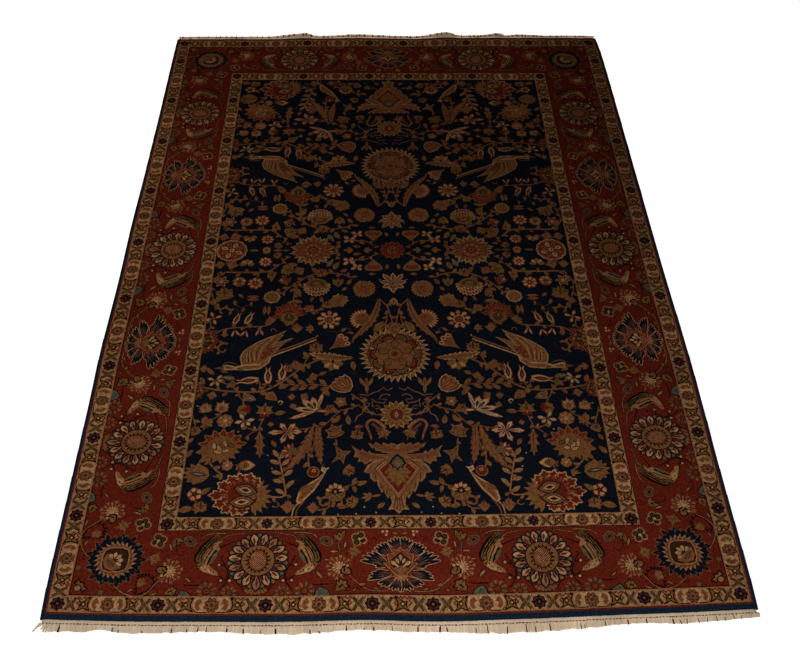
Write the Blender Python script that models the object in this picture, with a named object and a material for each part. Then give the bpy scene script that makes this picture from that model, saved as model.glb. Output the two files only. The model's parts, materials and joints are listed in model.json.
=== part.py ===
"""Hand-knotted wool carpet, laid flat: one knotted body with flat-woven end bands, two overcast
side cords and a short cotton fringe at each end.

Frame: +X across the carpet, +Y along it, +Z up, in metres. The origin is the middle of the
whole part's box, at floor level. The near end is the one towards -Y.
"""

import math
import random
from collections import namedtuple

import bmesh
import bpy

MM = 0.001

# Driving sizes
PILE_LENGTH = 3.500        # knotted part, end to end at the straight corner lines
RUG_WIDTH = 2.470          # over both side cords at the straight side lines
FOUNDATION = 0.003         # cotton warps and wefts, also the thickness of the end bands
PILE = 0.006               # clipped wool above the foundation
PILE_LEAN = 0.0012         # the pile's rim leans in by this much at its top
BAND_NEAR = 0.018          # flat-woven band outside the pile, near end
BAND_FAR = 0.024           # and far end
SIDE_CORD = 0.009          # diameter of an overcast side cord
CLEARANCE = 0.0003         # between one piece and the next

STRIP_WIDTH = 0.004        # knotted root strip of a fringe
STRIP_THICKNESS = 0.0028
STRANDS = 148              # locks in each fringe, each standing for two knotted warp bundles
ROOT_SHARE = 0.62          # of a lock's pitch, the rest is the slit beside it
TIP_SHARE = 0.46
TIP_THICKNESS = 0.0016
TIP_LEAN = 0.0028          # most that a tip stands off its root, sideways
FLARE_OUT = 0.010          # what the near end's left corner lock is longer by
FLARE_SIDE = 0.020         # and how far it fans out
DROOP = 0.55               # share of a raised root's height that its tip keeps

COLUMNS = 120              # steps across the carpet
PILE_ROWS = 30             # steps along the pile up to the raised zone
RAISED_ZONE = 0.150        # how far a buckle of the far band reaches into the pile

# How far each side bows out from the straight side line, in mm, by the share of the length
# from the near end.
SideRow = namedtuple("SideRow", "share left_mm right_mm")
SIDES = (
    SideRow(0.00, 1, -10),
    SideRow(0.04, 5, -6),
    SideRow(0.15, 7, -4),
    SideRow(0.25, 10, 2),
    SideRow(0.33, 14, 4),
    SideRow(0.45, 9, 0),
    SideRow(0.55, 11, 0),
    SideRow(0.68, 5, 1),
    SideRow(0.85, 3, 2),
    SideRow(0.96, 3, 0),
    SideRow(1.00, 2, -9),
)

# How far the pile's two ends bow out from the straight corner line, and how long each fringe
# hangs past its strip, in mm, by the share of the width from the left.
EndRow = namedtuple("EndRow", "share near_mm far_mm near_fringe_mm far_fringe_mm")
ENDS = (
    EndRow(0.00, -2, 8, 20, 7),
    EndRow(0.05, 3, 9, 16, 8),
    EndRow(0.08, 6, 9, 8, 9),
    EndRow(0.12, 10, 10, 17, 9),
    EndRow(0.22, 15, 11, 11, 10),
    EndRow(0.34, 20, 20, 19, 10),
    EndRow(0.45, 18, 24, 10, 11),
    EndRow(0.52, 25, 22, 14, 9),
    EndRow(0.57, 27, 20, 14, 9),
    EndRow(0.63, 24, 26, 23, 10),
    EndRow(0.69, 21, 30, 22, 10),
    EndRow(0.76, 16, 29, 16, 9),
    EndRow(0.83, 11, 31, 8, 8),
    EndRow(0.89, 8, 32, 14, 7),
    EndRow(0.95, 3, 33, 10, 7),
    EndRow(1.00, -1, 31, 4, 5),
)

# Where the far band buckles up off the floor: a slow rise from the left to a crest and a
# steeper fall after it. Places and spans are in metres from the middle of the width.
Buckle = namedtuple("Buckle", "crest rise fall height")
BUCKLES = (
    Buckle(-0.487, 0.230, 0.060, 0.021),
    Buckle(-0.180, 0.200, 0.230, 0.009),
    Buckle(0.340, 0.180, 0.085, 0.025),
    Buckle(0.655, 0.130, 0.045, 0.018),
    Buckle(0.760, 0.070, 0.190, 0.008),
)
BAND_MIDDLE_LIFT = 0.62    # share of a buckle's height left at the middle of the band,
PILE_EDGE_LIFT = 0.20      # at the pile's edge
ZONE_MIDDLE_LIFT = 0.06    # and at the middle of the raised zone
OCTAGON_HALF_ANGLE = math.pi / 8

WOOL_NAVY = (0.010, 0.012, 0.020)
WOOL_RED = (0.155, 0.022, 0.014)
COTTON = (0.560, 0.450, 0.330)


def smooth_read(rows, column, share):
    """A table's column at a share along it, on a smooth curve through its rows."""
    last = len(rows) - 1
    i = next((k for k in range(last) if share <= rows[k + 1].share), last - 1)
    here, there = rows[i], rows[i + 1]
    span = there.share - here.share
    t = min(max((share - here.share) / span, 0.0), 1.0)

    def slope(k):
        before, after = rows[max(k - 1, 0)], rows[min(k + 1, last)]
        return (getattr(after, column) - getattr(before, column)) / (after.share - before.share)

    a, b = getattr(here, column), getattr(there, column)
    rising = (t**3 - 2 * t**2 + t) * span * slope(i) + (t**3 - t**2) * span * slope(i + 1)
    return (1 + 2 * t) * (1 - t) ** 2 * a + t**2 * (3 - 2 * t) * b + rising


def ease(t):
    t = min(max(t, 0.0), 1.0)
    return t * t * (3 - 2 * t)


def side_x(side, v):
    """X of the pile's left (-1) or right (1) side at share v of the length: inside the cord."""
    bow = smooth_read(SIDES, "left_mm" if side < 0 else "right_mm", v) * MM
    return side * (RUG_WIDTH / 2 + bow - SIDE_CORD - CLEARANCE)


def end_y(end, u):
    """Y of the pile's near (-1) or far (1) end at share u of the width."""
    bow = smooth_read(ENDS, "near_mm" if end < 0 else "far_mm", u) * MM
    return end * (PILE_LENGTH / 2 + bow)


def lift(x):
    """Height of the far band's outer edge above the floor at x."""
    height = 0.0
    for b in BUCKLES:
        reach = b.rise if x < b.crest else b.fall
        height += b.height * ease(1 - abs(x - b.crest) / reach)
    return height


def across(u, v):
    left, right = side_x(-1, v), side_x(1, v)
    return left + (right - left) * u


def pile_point(u, v, inset=0.0):
    """Plan place of a point of the pile, drawn in at its rim by an inset."""
    left, right = side_x(-1, v) + inset, side_x(1, v) - inset
    near, far = end_y(-1, u) + inset, end_y(1, u) - inset
    return left + (right - left) * u, near + (far - near) * v


def carpet_rows():
    """The grid's rows from the near band's edge to the far one's: (share of the pile's length,
    share of the end band, share of a buckle's height). A band share is negative at the near end.
    """
    zone = RAISED_ZONE / PILE_LENGTH
    rows = [(0.0, -1.0, 0.0)]
    rows += [((1 - zone) * i / PILE_ROWS, 0.0, 0.0) for i in range(PILE_ROWS + 1)]
    rows += [(1 - zone / 2, 0.0, ZONE_MIDDLE_LIFT), (1.0, 0.0, PILE_EDGE_LIFT)]
    rows += [(1.0, 0.5, BAND_MIDDLE_LIFT), (1.0, 1.0, 1.0)]
    return rows


def new_object(name, bm, material, collection):
    bmesh.ops.recalc_face_normals(bm, faces=bm.faces)
    mesh = bpy.data.meshes.new(name)
    bm.to_mesh(mesh)
    bm.free()
    mesh.materials.append(material)
    obj = bpy.data.objects.new(name, mesh)
    collection.objects.link(obj)
    return obj


def grid(columns, rows):
    """A flat grid, with each vertex's column and row."""
    bm = bmesh.new()
    bmesh.ops.create_grid(bm, x_segments=columns, y_segments=rows, size=1.0)
    place = {
        v: (round((v.co.x + 1) / 2 * columns), round((v.co.y + 1) / 2 * rows))
        for v in bm.verts
    }
    return bm, place


def extruded(bm, faces):
    """Extrude a region of faces, and return its new faces and vertices."""
    found = bmesh.ops.extrude_face_region(bm, geom=list(faces))["geom"]
    new_faces = [g for g in found if isinstance(g, bmesh.types.BMFace)]
    return new_faces, {v for f in new_faces for v in f.verts}


def knotted_carpet(material, collection):
    """The one woven body: a foundation that runs out into both end bands, and the pile on it."""
    rows = carpet_rows()
    bm, place = grid(COLUMNS, len(rows) - 1)
    for vert, (i, j) in place.items():
        u = i / COLUMNS
        v, band, raised = rows[j]
        x, y = pile_point(u, v)
        if band:
            y = end_y(-1, u) + band * BAND_NEAR if band < 0 else end_y(1, u) + band * BAND_FAR
        vert.co = (x, y, lift(x) * raised)
    under = {tuple(vert.co): key for vert, key in place.items()}

    top_faces, top_verts = extruded(bm, bm.faces)
    keys = {vert: under[tuple(vert.co)] for vert in top_verts}
    for vert in top_verts:
        vert.co.z += FOUNDATION

    pile_faces = [f for f in top_faces if all(rows[keys[v][1]][1] == 0 for v in f.verts)]
    base = {tuple(v.co): keys[v] for f in pile_faces for v in f.verts}
    _, pile_verts = extruded(bm, pile_faces)
    bmesh.ops.delete(bm, geom=pile_faces, context="FACES")
    for vert in pile_verts:
        i, j = base[tuple(vert.co)]
        vert.co.x, vert.co.y = pile_point(i / COLUMNS, rows[j][0], PILE_LEAN)
        vert.co.z += PILE

    bmesh.ops.dissolve_limit(bm, angle_limit=1e-6, verts=bm.verts, edges=bm.edges)
    bmesh.ops.triangulate(bm, faces=bm.faces, quad_method="BEAUTY", ngon_method="BEAUTY")
    return new_object("carpet", bm, material, collection)


def side_cord(name, side, material, collection):
    """An overcast cord along one side of the pile, with a flat underside."""
    radius = SIDE_CORD / 2 / math.cos(OCTAGON_HALF_ANGLE)
    curve = bpy.data.curves.new(name, "CURVE")
    curve.dimensions = "3D"
    curve.bevel_depth = radius
    curve.bevel_resolution = 2
    curve.use_fill_caps = True
    spline = curve.splines.new("POLY")
    pile_rows = [row for row in carpet_rows() if row[1] == 0]
    edge = 0.0 if side < 0 else 1.0
    spline.points.add(len(pile_rows) - 1)
    for point, (v, _, raised) in zip(spline.points, pile_rows):
        x, y = pile_point(edge, v)
        x += side * (CLEARANCE + SIDE_CORD / 2)
        point.co = (x, y, lift(x) * raised + SIDE_CORD / 2, 1.0)
        point.tilt = OCTAGON_HALF_ANGLE
    curve.materials.append(material)
    obj = bpy.data.objects.new(name, curve)
    collection.objects.link(obj)
    return obj


def fringe(name, end, seed, material, collection):
    """Knotted warp ends: a narrow root strip along an end band, and its locks."""
    column = "near_fringe_mm" if end < 0 else "far_fringe_mm"
    band = BAND_NEAR if end < 0 else BAND_FAR
    draw = random.Random(seed)
    slit = 1 - ROOT_SHARE
    cells = 2 * STRANDS - 1
    # Lock k spans stations 2k and 2k + 1, and the strip is one cell deep.
    bm, place = grid(cells, 1)
    end_v = 0.0 if end < 0 else 1.0
    raised = {}
    for vert, (i, j) in place.items():
        lock, right = divmod(i, 2)
        u = (lock + (ROOT_SHARE if right else 0.0)) / (STRANDS - slit)
        x = across(u, end_v)
        outward = band + CLEARANCE + (STRIP_WIDTH if j == (end > 0) else 0.0)
        raised[i] = lift(x) if end > 0 else 0.0
        vert.co = (x, end_y(end, u) + end * outward, raised[i])
    stations = {tuple(vert.co)[:2]: key for vert, key in place.items()}
    _, top = extruded(bm, bm.faces)
    for vert in top:
        vert.co.z += STRIP_THICKNESS

    roots = []
    for face in bm.faces:
        keys = [stations[tuple(v.co)[:2]] for v in face.verts]
        lock = min(i for i, _ in keys)
        outer = all(j == (end > 0) for _, j in keys)
        if outer and len({i for i, _ in keys}) == 2 and lock % 2 == 0:
            roots.append((lock // 2, face))
    for lock, face in sorted(roots, key=lambda pair: pair[0]):
        u = lock / (STRANDS - 1)
        length = smooth_read(ENDS, column, u) * MM * draw.uniform(0.82, 1.16)
        lean = draw.uniform(-TIP_LEAN, TIP_LEAN)
        if end < 0 and lock == 0:
            length, lean = length + FLARE_OUT, -FLARE_SIDE
        tip = bmesh.ops.extrude_discrete_faces(bm, faces=[face])["faces"][0]
        middle = tip.calc_center_median()
        lowest = min(v.co.z for v in tip.verts)
        for vert in tip.verts:
            upper = vert.co.z > middle.z
            vert.co.x = middle.x + lean + (vert.co.x - middle.x) * TIP_SHARE / ROOT_SHARE
            vert.co.y += end * length
            vert.co.z = max(lowest, 0.0) * DROOP + (TIP_THICKNESS if upper else 0.0)
    return new_object(name, bm, material, collection)


def wool_or_cotton(name, colour, roughness):
    material = bpy.data.materials.new(name)
    material.use_nodes = True
    shader = material.node_tree.nodes["Principled BSDF"]
    shader.inputs["Base Color"].default_value = (*colour, 1.0)
    shader.inputs["Roughness"].default_value = roughness
    shader.inputs["Metallic"].default_value = 0.0
    material.diffuse_color = (*colour, 1.0)
    return material


def centre_on_floor(parts):
    """Hang every piece from an empty that puts the middle of their box on the origin."""
    bpy.context.view_layer.update()
    graph = bpy.context.evaluated_depsgraph_get()
    xs, ys = [], []
    for obj in parts:
        shape = obj.evaluated_get(graph)
        mesh = shape.to_mesh()
        xs += [v.co.x for v in mesh.vertices]
        ys += [v.co.y for v in mesh.vertices]
        shape.to_mesh_clear()
    hub = bpy.data.objects.new("rug_middle", None)
    parts[0].users_collection[0].objects.link(hub)
    hub.location = (-(min(xs) + max(xs)) / 2, -(min(ys) + max(ys)) / 2, 0.0)
    for obj in parts:
        obj.parent = hub


def main():
    for obj in list(bpy.data.objects):
        bpy.data.objects.remove(obj, do_unlink=True)
    collection = bpy.data.collections.new("persian_rug")
    bpy.context.scene.collection.children.link(collection)
    red = wool_or_cotton("wool_pile", WOOL_RED, 0.92)
    navy = wool_or_cotton("wool_overcast", WOOL_NAVY, 0.88)
    cotton = wool_or_cotton("cotton_warp", COTTON, 0.90)
    parts = [
        knotted_carpet(red, collection),
        side_cord("side_cord_left", -1, navy, collection),
        side_cord("side_cord_right", 1, navy, collection),
        fringe("fringe_near", -1, 11, cotton, collection),
        fringe("fringe_far", 1, 29, cotton, collection),
    ]
    centre_on_floor(parts)


main()
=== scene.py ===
"""Looks of a hand-knotted carpet: garden field on dark blue, madder border, two cream guards.

The design is laid out in millimetres on a flat plan with y away from the viewer, and then
placed on the solids of the part, which give the edges and the height of every point.
"""

import cmath
import json
import math
import random
from collections import namedtuple

import bmesh
import bpy
import numpy as np
from mathutils import Matrix, Vector
from mathutils.bvhtree import BVHTree
from mathutils.geometry import delaunay_2d_cdt

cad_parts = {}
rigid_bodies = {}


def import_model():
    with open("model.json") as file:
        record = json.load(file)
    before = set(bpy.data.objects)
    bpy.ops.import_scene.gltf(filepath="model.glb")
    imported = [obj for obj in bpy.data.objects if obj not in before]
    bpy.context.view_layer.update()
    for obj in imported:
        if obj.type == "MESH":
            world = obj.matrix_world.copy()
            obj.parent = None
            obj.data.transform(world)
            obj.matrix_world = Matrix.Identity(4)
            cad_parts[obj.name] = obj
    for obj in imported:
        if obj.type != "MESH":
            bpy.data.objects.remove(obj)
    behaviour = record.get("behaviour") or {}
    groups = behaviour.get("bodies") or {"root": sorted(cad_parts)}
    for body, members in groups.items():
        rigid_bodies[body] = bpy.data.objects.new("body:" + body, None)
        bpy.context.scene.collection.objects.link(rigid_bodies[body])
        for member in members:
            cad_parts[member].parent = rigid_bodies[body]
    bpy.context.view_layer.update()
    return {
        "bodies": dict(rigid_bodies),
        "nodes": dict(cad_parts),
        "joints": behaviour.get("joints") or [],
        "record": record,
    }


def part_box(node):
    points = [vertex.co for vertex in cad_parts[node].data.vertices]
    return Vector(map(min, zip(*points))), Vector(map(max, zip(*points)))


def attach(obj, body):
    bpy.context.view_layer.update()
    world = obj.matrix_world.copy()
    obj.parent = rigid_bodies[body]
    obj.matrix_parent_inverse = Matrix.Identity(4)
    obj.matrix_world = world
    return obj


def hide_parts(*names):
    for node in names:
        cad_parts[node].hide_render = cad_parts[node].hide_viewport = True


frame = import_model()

MM = 0.001

NAVY, RED, MADDER, CAMEL, GOLD = "navy", "red", "madder", "camel", "gold"
CREAM, ROSE, SAGE, OLIVE = "cream", "rose", "sage", "olive"
BROWN, BLUE, BUFF, CORAL, UMBER = "brown", "blue", "buff", "coral", "umber"
# SHEEN_IVORY is pale wool whitened by a painted sheen highlight; the field keeps it only in the near-right
# quarter.
END_BLUE, SHEEN_IVORY, DEEP_CREAM = "end blue", "ivory", "deep cream"


def polar(r, degrees):
    return cmath.rect(r, math.radians(degrees))


def turned_ccw(points):
    """The outline in anticlockwise order."""
    area = sum((a.conjugate() * b).imag for a, b in zip(points, points[1:] + points[:1]))
    return points if area > 0 else points[::-1]


class Pen:
    """Draws shapes given about a motif's own middle, in millimetres, at its place on the rug."""

    def __init__(self, art, turn=1 + 0j, middle=0j, mirrored=False):
        self.art, self.turn, self.middle, self.mirrored = art, turn, middle, mirrored

    def spot(self, z):
        return self.turn * (z.conjugate() if self.mirrored else z) + self.middle

    def at(self, x, y, angle=0.0, size=1.0, flip=False):
        turn = polar(size, angle)
        if self.mirrored:
            turn = turn.conjugate()
        return Pen(self.art, self.turn * turn, self.spot(complex(x, y)), self.mirrored != flip)

    def paint(self, dye, points):
        self.art.append((dye, turned_ccw([self.spot(z) for z in points])))

    def petal(self, dye, angle, *shape):
        """A lens that lies along a ray from the motif's middle."""
        self.paint(dye, turned(lens(*shape), angle))

    def stroke(self, dye, line, width, taper=0.0):
        """A band along a line."""
        for quad in ribbon(line, width, taper):
            self.paint(dye, quad)


# ------------------------------------------------------------------ plain shapes
def circle(r, n=0, squash=1.0):
    n = n or max(8, min(36, int(r * 0.9)))
    return [complex(r * math.cos(a), r * squash * math.sin(a))
            for a in (2 * math.pi * k / n for k in range(n))]


def wavy(r, lobes, depth, squash=1.0):
    n = lobes * (4 if lobes < 9 else 3)
    return [complex(math.cos(a), squash * math.sin(a)) * r * (1 + depth * math.cos(lobes * a))
            for a in (2 * math.pi * k / n for k in range(n))]


def star(n, r_in, r_out, skew=0.0, squash=1.0):
    out = []
    for k in range(n):
        out += [polar(r_out, 360 * (k + skew) / n), polar(r_in, 360 * (k + 0.5) / n)]
    return [complex(z.real, z.imag * squash) for z in out]


def burst(n, r_in, r_out, start, end, skew=0.0):
    """Teeth along an arc, closed through the middle."""
    out = [0j]
    step = (end - start) / n
    for k in range(n):
        out += [polar(r_in, start + step * k), polar(r_out, start + step * (k + 0.5 + skew))]
    return out + [polar(r_in, end)]


def lens(x0, x1, width, blunt=0.75, n=5):
    """A petal on the +x axis from x0 to x1, widest past its middle when blunt is under one."""
    side = []
    for k in range(1, n):
        t = k / n
        side.append((x0 + (x1 - x0) * t, width / 2 * math.sin(math.pi * t ** (1 / blunt))))
    return ([complex(x0, 0)] + [complex(*p) for p in side] + [complex(x1, 0)]
            + [complex(x, -y) for x, y in reversed(side)])


def turned(points, degrees, shift=0j):
    turn = polar(1, degrees)
    return [z * turn + shift for z in points]


def smooth(points, step=7.0):
    """A curve through the points, at about even steps."""
    pts = [complex(*p) if isinstance(p, tuple) else p for p in points]
    ends = [2 * pts[0] - pts[1]] + pts + [2 * pts[-1] - pts[-2]]
    out = []
    for a, b, c, d in zip(ends, ends[1:], ends[2:], ends[3:]):
        n = max(1, round(abs(c - b) / step))
        for k in range(n):
            t = k / n
            out.append(0.5 * (2 * b + (c - a) * t + (2 * a - 5 * b + 4 * c - d) * t**2
                              + (3 * b - a - 3 * c + d) * t**3))
    return out + [pts[-1]]


def normals(line):
    out = []
    for k in range(len(line)):
        along = line[min(k + 1, len(line) - 1)] - line[max(k - 1, 0)]
        out.append(1j * along / max(abs(along), 1e-9))
    return out


def ribbon(line, width, taper=0.0):
    """A band along a line, as quads, narrowing towards its end by a share."""
    side = normals(line)
    last = len(line) - 1
    half = [width / 2 * (1 - taper * k / last) for k in range(last + 1)]
    return [[line[k] - side[k] * half[k], line[k + 1] - side[k + 1] * half[k + 1],
             line[k + 1] + side[k + 1] * half[k + 1], line[k] + side[k] * half[k]]
            for k in range(last)]


def blade(length, width, bend=0.0, teeth=0, depth=0.3, blunt=0.8):
    """A leaf from the origin along +x, bending by an angle, with teeth that point to its tip."""
    n = max(6, teeth * 3)
    spine = line_of(length, bend, n)
    side = normals(spine)
    left, right = [], []
    for k in range(1, n):
        half = width / 2 * math.sin(math.pi * (k / n) ** (1 / blunt)) ** 0.85
        push = 0.0
        if teeth:
            half *= (1 + depth, 1 - depth * 0.9, 1.0)[k % 3]
            push = (0.75, 0.1, 0.0)[k % 3] * length / n
        along = side[k] * -1j
        left.append(spine[k] + side[k] * half + along * push)
        right.append(spine[k] - side[k] * half + along * push)
    return [0j] + left + [spine[-1]] + right[::-1]


def line_of(length, bend, n=5):
    step, heading, spine = length / n, -bend / 2, [0j]
    for _ in range(n):
        spine.append(spine[-1] + polar(step, heading))
        heading += bend / n
    return spine


# ------------------------------------------------------------------ small motifs
def vine(pen, points, width=4.4, dye=CAMEL, rim=None):
    line = smooth(points, 9.0)
    if rim:
        pen.stroke(rim, line, width + 4)
    pen.stroke(dye, line, width)


LEAF_DYES = (CAMEL, CAMEL, GOLD, CAMEL, ROSE, CAMEL, OLIVE)


def garland(pen, points, width=4.0, dye=CAMEL, size=30, gap=38, start=0.06):
    """A vine with small leaves set alternately on its two sides."""
    vine(pen, points, width + 1.5, dye)
    line = smooth(points, 9.0)
    side = normals(line)
    every = max(1, round(gap / 9))
    first = max(1, int(start * len(line)))
    for count, k in enumerate(range(first, len(line), every)):
        heading = math.degrees(cmath.phase(side[k] / 1j))
        spot = line[k]
        swing = (50 if count % 2 else -50) + 7 * (count % 3 - 1)
        length = size * (0.85 + 0.15 * (count % 3))
        leaf(pen.at(spot.real, spot.imag, heading + swing), length, length * 0.5, 20 if count % 2 else -20,
             LEAF_DYES[count % 7])


def leaf(pen, length=30, width=12, bend=0, dye=CAMEL, rim=None, rib=None, teeth=0):
    if rim:
        pen.at(-2, 0).paint(rim, blade(length + 4, width + 5, bend, teeth))
    pen.paint(dye, blade(length, width, bend, teeth))
    if rib:
        pen.stroke(rib, line_of(length * 0.9, bend * 0.9), 2.0, 0.5)


def spiky(pen, dye, tips, valley):
    """A leaf or flower outline: pointed tips at angles and reaches, with valleys between them."""
    out = []
    for k, (angle, reach) in enumerate(tips):
        gap = (tips[(k + 1) % len(tips)][0] - angle) % 360
        out.append(polar(reach, angle))
        if gap < 100:
            out.append(polar(valley, angle + gap / 2))
        else:
            out += [polar(valley, angle + gap / 3), polar(valley * 0.8, angle + gap * 2 / 3)]
    pen.paint(dye, out)


SPRIG_TIPS = ((0, 1.2), (22, 0.98), (46, 0.62), (62, 0.92), (80, 1.05), (118, 0.66), (180, 0.9),
              (-118, 0.66), (-80, 1.05), (-62, 0.92), (-46, 0.62), (-22, 0.98))


def sprig(pen, r=16, dye=CAMEL, heart=None):
    """A leaf with three pointed lobes that opens along +x."""
    spiky(pen, dye, [(angle, reach * r) for angle, reach in SPRIG_TIPS], 0.66 * r)
    if heart:
        pen.paint(heart, lens(-0.4 * r, 0.8 * r, 0.26 * r))
        pen.petal(heart, 74, 0, 0.7 * r, 0.18 * r)
        pen.petal(heart, -74, 0, 0.7 * r, 0.18 * r)


def maple(pen, r=26, dye=CAMEL, heart=None):
    """A five-pointed leaf with small side teeth."""
    tips = ((0, 1.15), (15, 0.95), (54, 1.0), (68, 0.82), (110, 0.86), (180, 0.5), (-110, 0.86),
            (-68, 0.82), (-54, 1.0), (-15, 0.95))
    spiky(pen, dye, [(angle, reach * r) for angle, reach in tips], 0.64 * r)
    if heart:
        pen.paint(heart, lens(-0.35 * r, 0.8 * r, 0.26 * r))
        for angle in (-54, 54):
            pen.petal(heart, angle, 0.1 * r, 0.7 * r, 0.16 * r)


def rosette(pen, r=30, n=8, petal=CREAM, edge=RED, heart=ROSE, eye=BROWN):
    pen.paint(edge, wavy(r, n, 0.09))
    width = 2 * math.pi * r * 0.66 / n * 0.86
    for k in range(n):
        pen.petal(petal, 360 * k / n, r * 0.3, r * 0.94, width, 0.7, 4)
    pen.paint(edge, circle(r * 0.38))
    pen.paint(heart, circle(r * 0.31))
    if eye:
        pen.paint(eye, circle(r * 0.14, 6))


def aster(pen, r=30, n=6, petal=CREAM, rim=RED, eye=RED):
    """A flower of separate pointed petals."""
    for k in range(n):
        pen.petal(rim, 360 * k / n, r * 0.08, r * 1.06, r * 0.5, 0.8, 4)
    for k in range(n):
        pen.petal(petal, 360 * k / n, r * 0.2, r * 0.94, r * 0.33, 0.8, 4)
    pen.paint(eye, circle(r * 0.2, 7))


def fan(pen, r=40, spread=160, n=8, petal=CREAM, rim=RED, heart=ROSE, core=None, cup=CAMEL):
    """A half flower that opens along +x from a cup at its foot."""
    angles = [-spread / 2 + spread * (k + 0.5) / n for k in range(n)]
    width = math.radians(spread) * r * 0.8 / n * 1.25
    for a in angles:
        pen.petal(rim, a, r * 0.3, r * 1.04, width * 1.15, 0.7, 4)
    for a in angles:
        pen.petal(petal, a, r * 0.4, r * 0.93, width * 0.72, 0.7, 4)
    pen.paint(heart, burst(n, r * 0.56, r * 0.64, -spread / 2, spread / 2))
    if cup:
        pen.paint(cup, [z * 0.62 * r - 0.14 * r for z in circle(0.62, 12)])
    if core:
        pen.paint(core, [z * r * 0.24 for z in circle(1, 9)])


def flames(pen, r, n, spread, dye, rim, inner=None, start=0.0, r0=0.35, fat=1.0):
    """Pointed tongues with side barbs on an arc about +x, each with a rim."""
    tongues = []
    for k in range(n):
        angle = start - spread / 2 + spread * (k + 0.5) / n
        reach = r * (1 if k % 2 == 0 else 0.88)
        width = math.radians(spread) * r * 0.72 / n * 1.3 * fat
        tongues.append((pen.at(0, 0, angle).at(r * r0, 0), reach - r * r0, width))
    for tongue, length, width in tongues:
        tongue.at(-2, 0).paint(rim, barbed(length + 6, width + 5))
    for tongue, length, width in tongues:
        tongue.paint(dye, barbed(length, width * 0.8))
        if inner:
            tongue.paint(inner, lens(length * 0.1, length * 0.62, width * 0.28))


def barbed(length, width):
    """A tongue with a pointed tip and two barbs on each side."""
    half = [0j, complex(0.22 * length, 0.42 * width), complex(0.46 * length, 0.54 * width),
            complex(0.42 * length, 0.34 * width), complex(0.76 * length, 0.36 * width),
            complex(0.70 * length, 0.2 * width), complex(length, 0)]
    return half + [z.conjugate() for z in half[-2:0:-1]]


def finger(length, width):
    """A tongue with a rounded tip."""
    half = [0j, complex(0.3 * length, 0.42 * width), complex(0.72 * length, 0.47 * width),
            complex(0.93 * length, 0.28 * width), complex(length, 0)]
    return half + [z.conjugate() for z in half[-2:0:-1]]


def tulip(pen, length=34, dye=GOLD, rim=None, heart=ROSE):
    for angle, reach in ((-24, 0.95), (24, 0.95), (0, 1.0)):
        if rim:
            pen.petal(rim, angle, -3, length * reach + 3, length * 0.5, 0.9)
        pen.petal(dye, angle, 0, length * reach, length * 0.36, 0.9)
    if heart:
        pen.paint(heart, lens(length * 0.1, length * 0.62, length * 0.2))


def flame_bud(pen, length=84, dye=CREAM, rim=RED, heart=ROSE):
    """Two narrow petals that close over a dark gap and flare apart at their tips."""
    pen.paint(NAVY, lens(0, length * 0.72, length * 0.26))
    pen.paint(heart, lens(length * 0.1, length * 0.55, length * 0.09))
    side = [(-0.06, 0.02), (0.10, 0.10), (0.34, 0.15), (0.56, 0.11), (0.72, 0.05), (0.88, 0.10),
            (1.0, 0.15)]
    for sign in (1, -1):
        line = smooth([(length * x, sign * length * y) for x, y in side], 8.0)
        pen.stroke(rim, line, length * 0.17, 0.6)
        pen.stroke(dye, line[:-1], length * 0.115, 0.6)


def drops(pen, length=42, dye=CREAM, rim=RED):
    """A hanging pair of narrow petals."""
    for angle in (-26, 22):
        pen.petal(rim, angle, 0, length + 2, length * 0.34)
        pen.petal(dye, angle, 3, length - 2, length * 0.19)


def pomegranate(pen, r=40, rim=CREAM, body=CAMEL, band=RED):
    """A tulip bulb that opens along +x: pale jagged lobes with red lobes between them."""
    half = [complex(-1.1 * r, 0), complex(-0.84 * r, 0.62 * r), complex(-0.2 * r, 1.04 * r),
            complex(0.3 * r, 1.16 * r), complex(0.9 * r, 1.06 * r), complex(0.84 * r, 0.7 * r),
            complex(1.06 * r, 0.5 * r), complex(0.94 * r, 0.24 * r)]
    for share, dye in ((1.0, rim), (0.92, body)):
        outline = half + [complex(1.2 * r, 0)] + [z.conjugate() for z in half[:0:-1]]
        pen.paint(dye, [share * z for z in outline])
    for y, width, bend in ((-0.62, 0.34, 20), (-0.08, 0.30, 4), (0.34, 0.22, -8)):
        petal = pen.at(-0.72 * r, 0.5 * y * r, 34 * y)
        petal.paint(band, blade(1.62 * r, width * r * 1.3, bend))
        petal.at(0.2 * r, 0).paint(rim, blade(1.1 * r, 0.1 * r, bend))
    pen.stroke(band, smooth([(-0.5 * r, 0.66 * r), (0.1 * r, 0.92 * r), (0.76 * r, 0.84 * r)]), 0.12 * r)


def ripe_pomegranate(pen):
    """A round gold fruit with a jagged rim and wavy rose stripes."""
    spiky(pen, GOLD, [(k * 24, 43 if k % 2 else 38) for k in range(15)], 34)
    pen.paint(CREAM, wavy(34, 9, 0.05))
    pen.paint(GOLD, wavy(30, 9, 0.05))
    for x, reach in ((-18, 22), (-4, 28), (10, 26), (22, 18)):
        line = [(x + 3 * (-1) ** k, -reach + k * reach / 3) for k in range(7)]
        pen.stroke(ROSE, smooth(line, 9.0), 4.5)
    pen.paint(CAMEL, turned(blade(26, 18, 0), 180, -34 + 0j))


def twig(pen, points, leaves, size=26, dye=CAMEL, width=4.0, rib=None, teeth=0):
    """A stem with leaves: each is a share of the stem, and an angle from it."""
    vine(pen, points, width, dye)
    line = smooth(points, 9.0)
    side = normals(line)
    for share, angle in leaves:
        k = min(int(share * (len(line) - 1)), len(line) - 1)
        heading = math.degrees(cmath.phase(side[k] / 1j))
        spot = line[k]
        leaf(pen.at(spot.real, spot.imag, heading + angle), size, size * 0.4, 0, dye, None, rib, teeth)


def dots(pen, places, r=3.4, dye=CREAM):
    for x, y in places:
        pen.at(x, y).paint(dye, circle(r, 7))


def curl(pen, r=14, dye=OLIVE, width=2.2, sweep=300):
    line = [polar(r * (1 - 0.6 * k / 9), sweep * k / 9) for k in range(10)]
    pen.stroke(dye, line, width)


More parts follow.
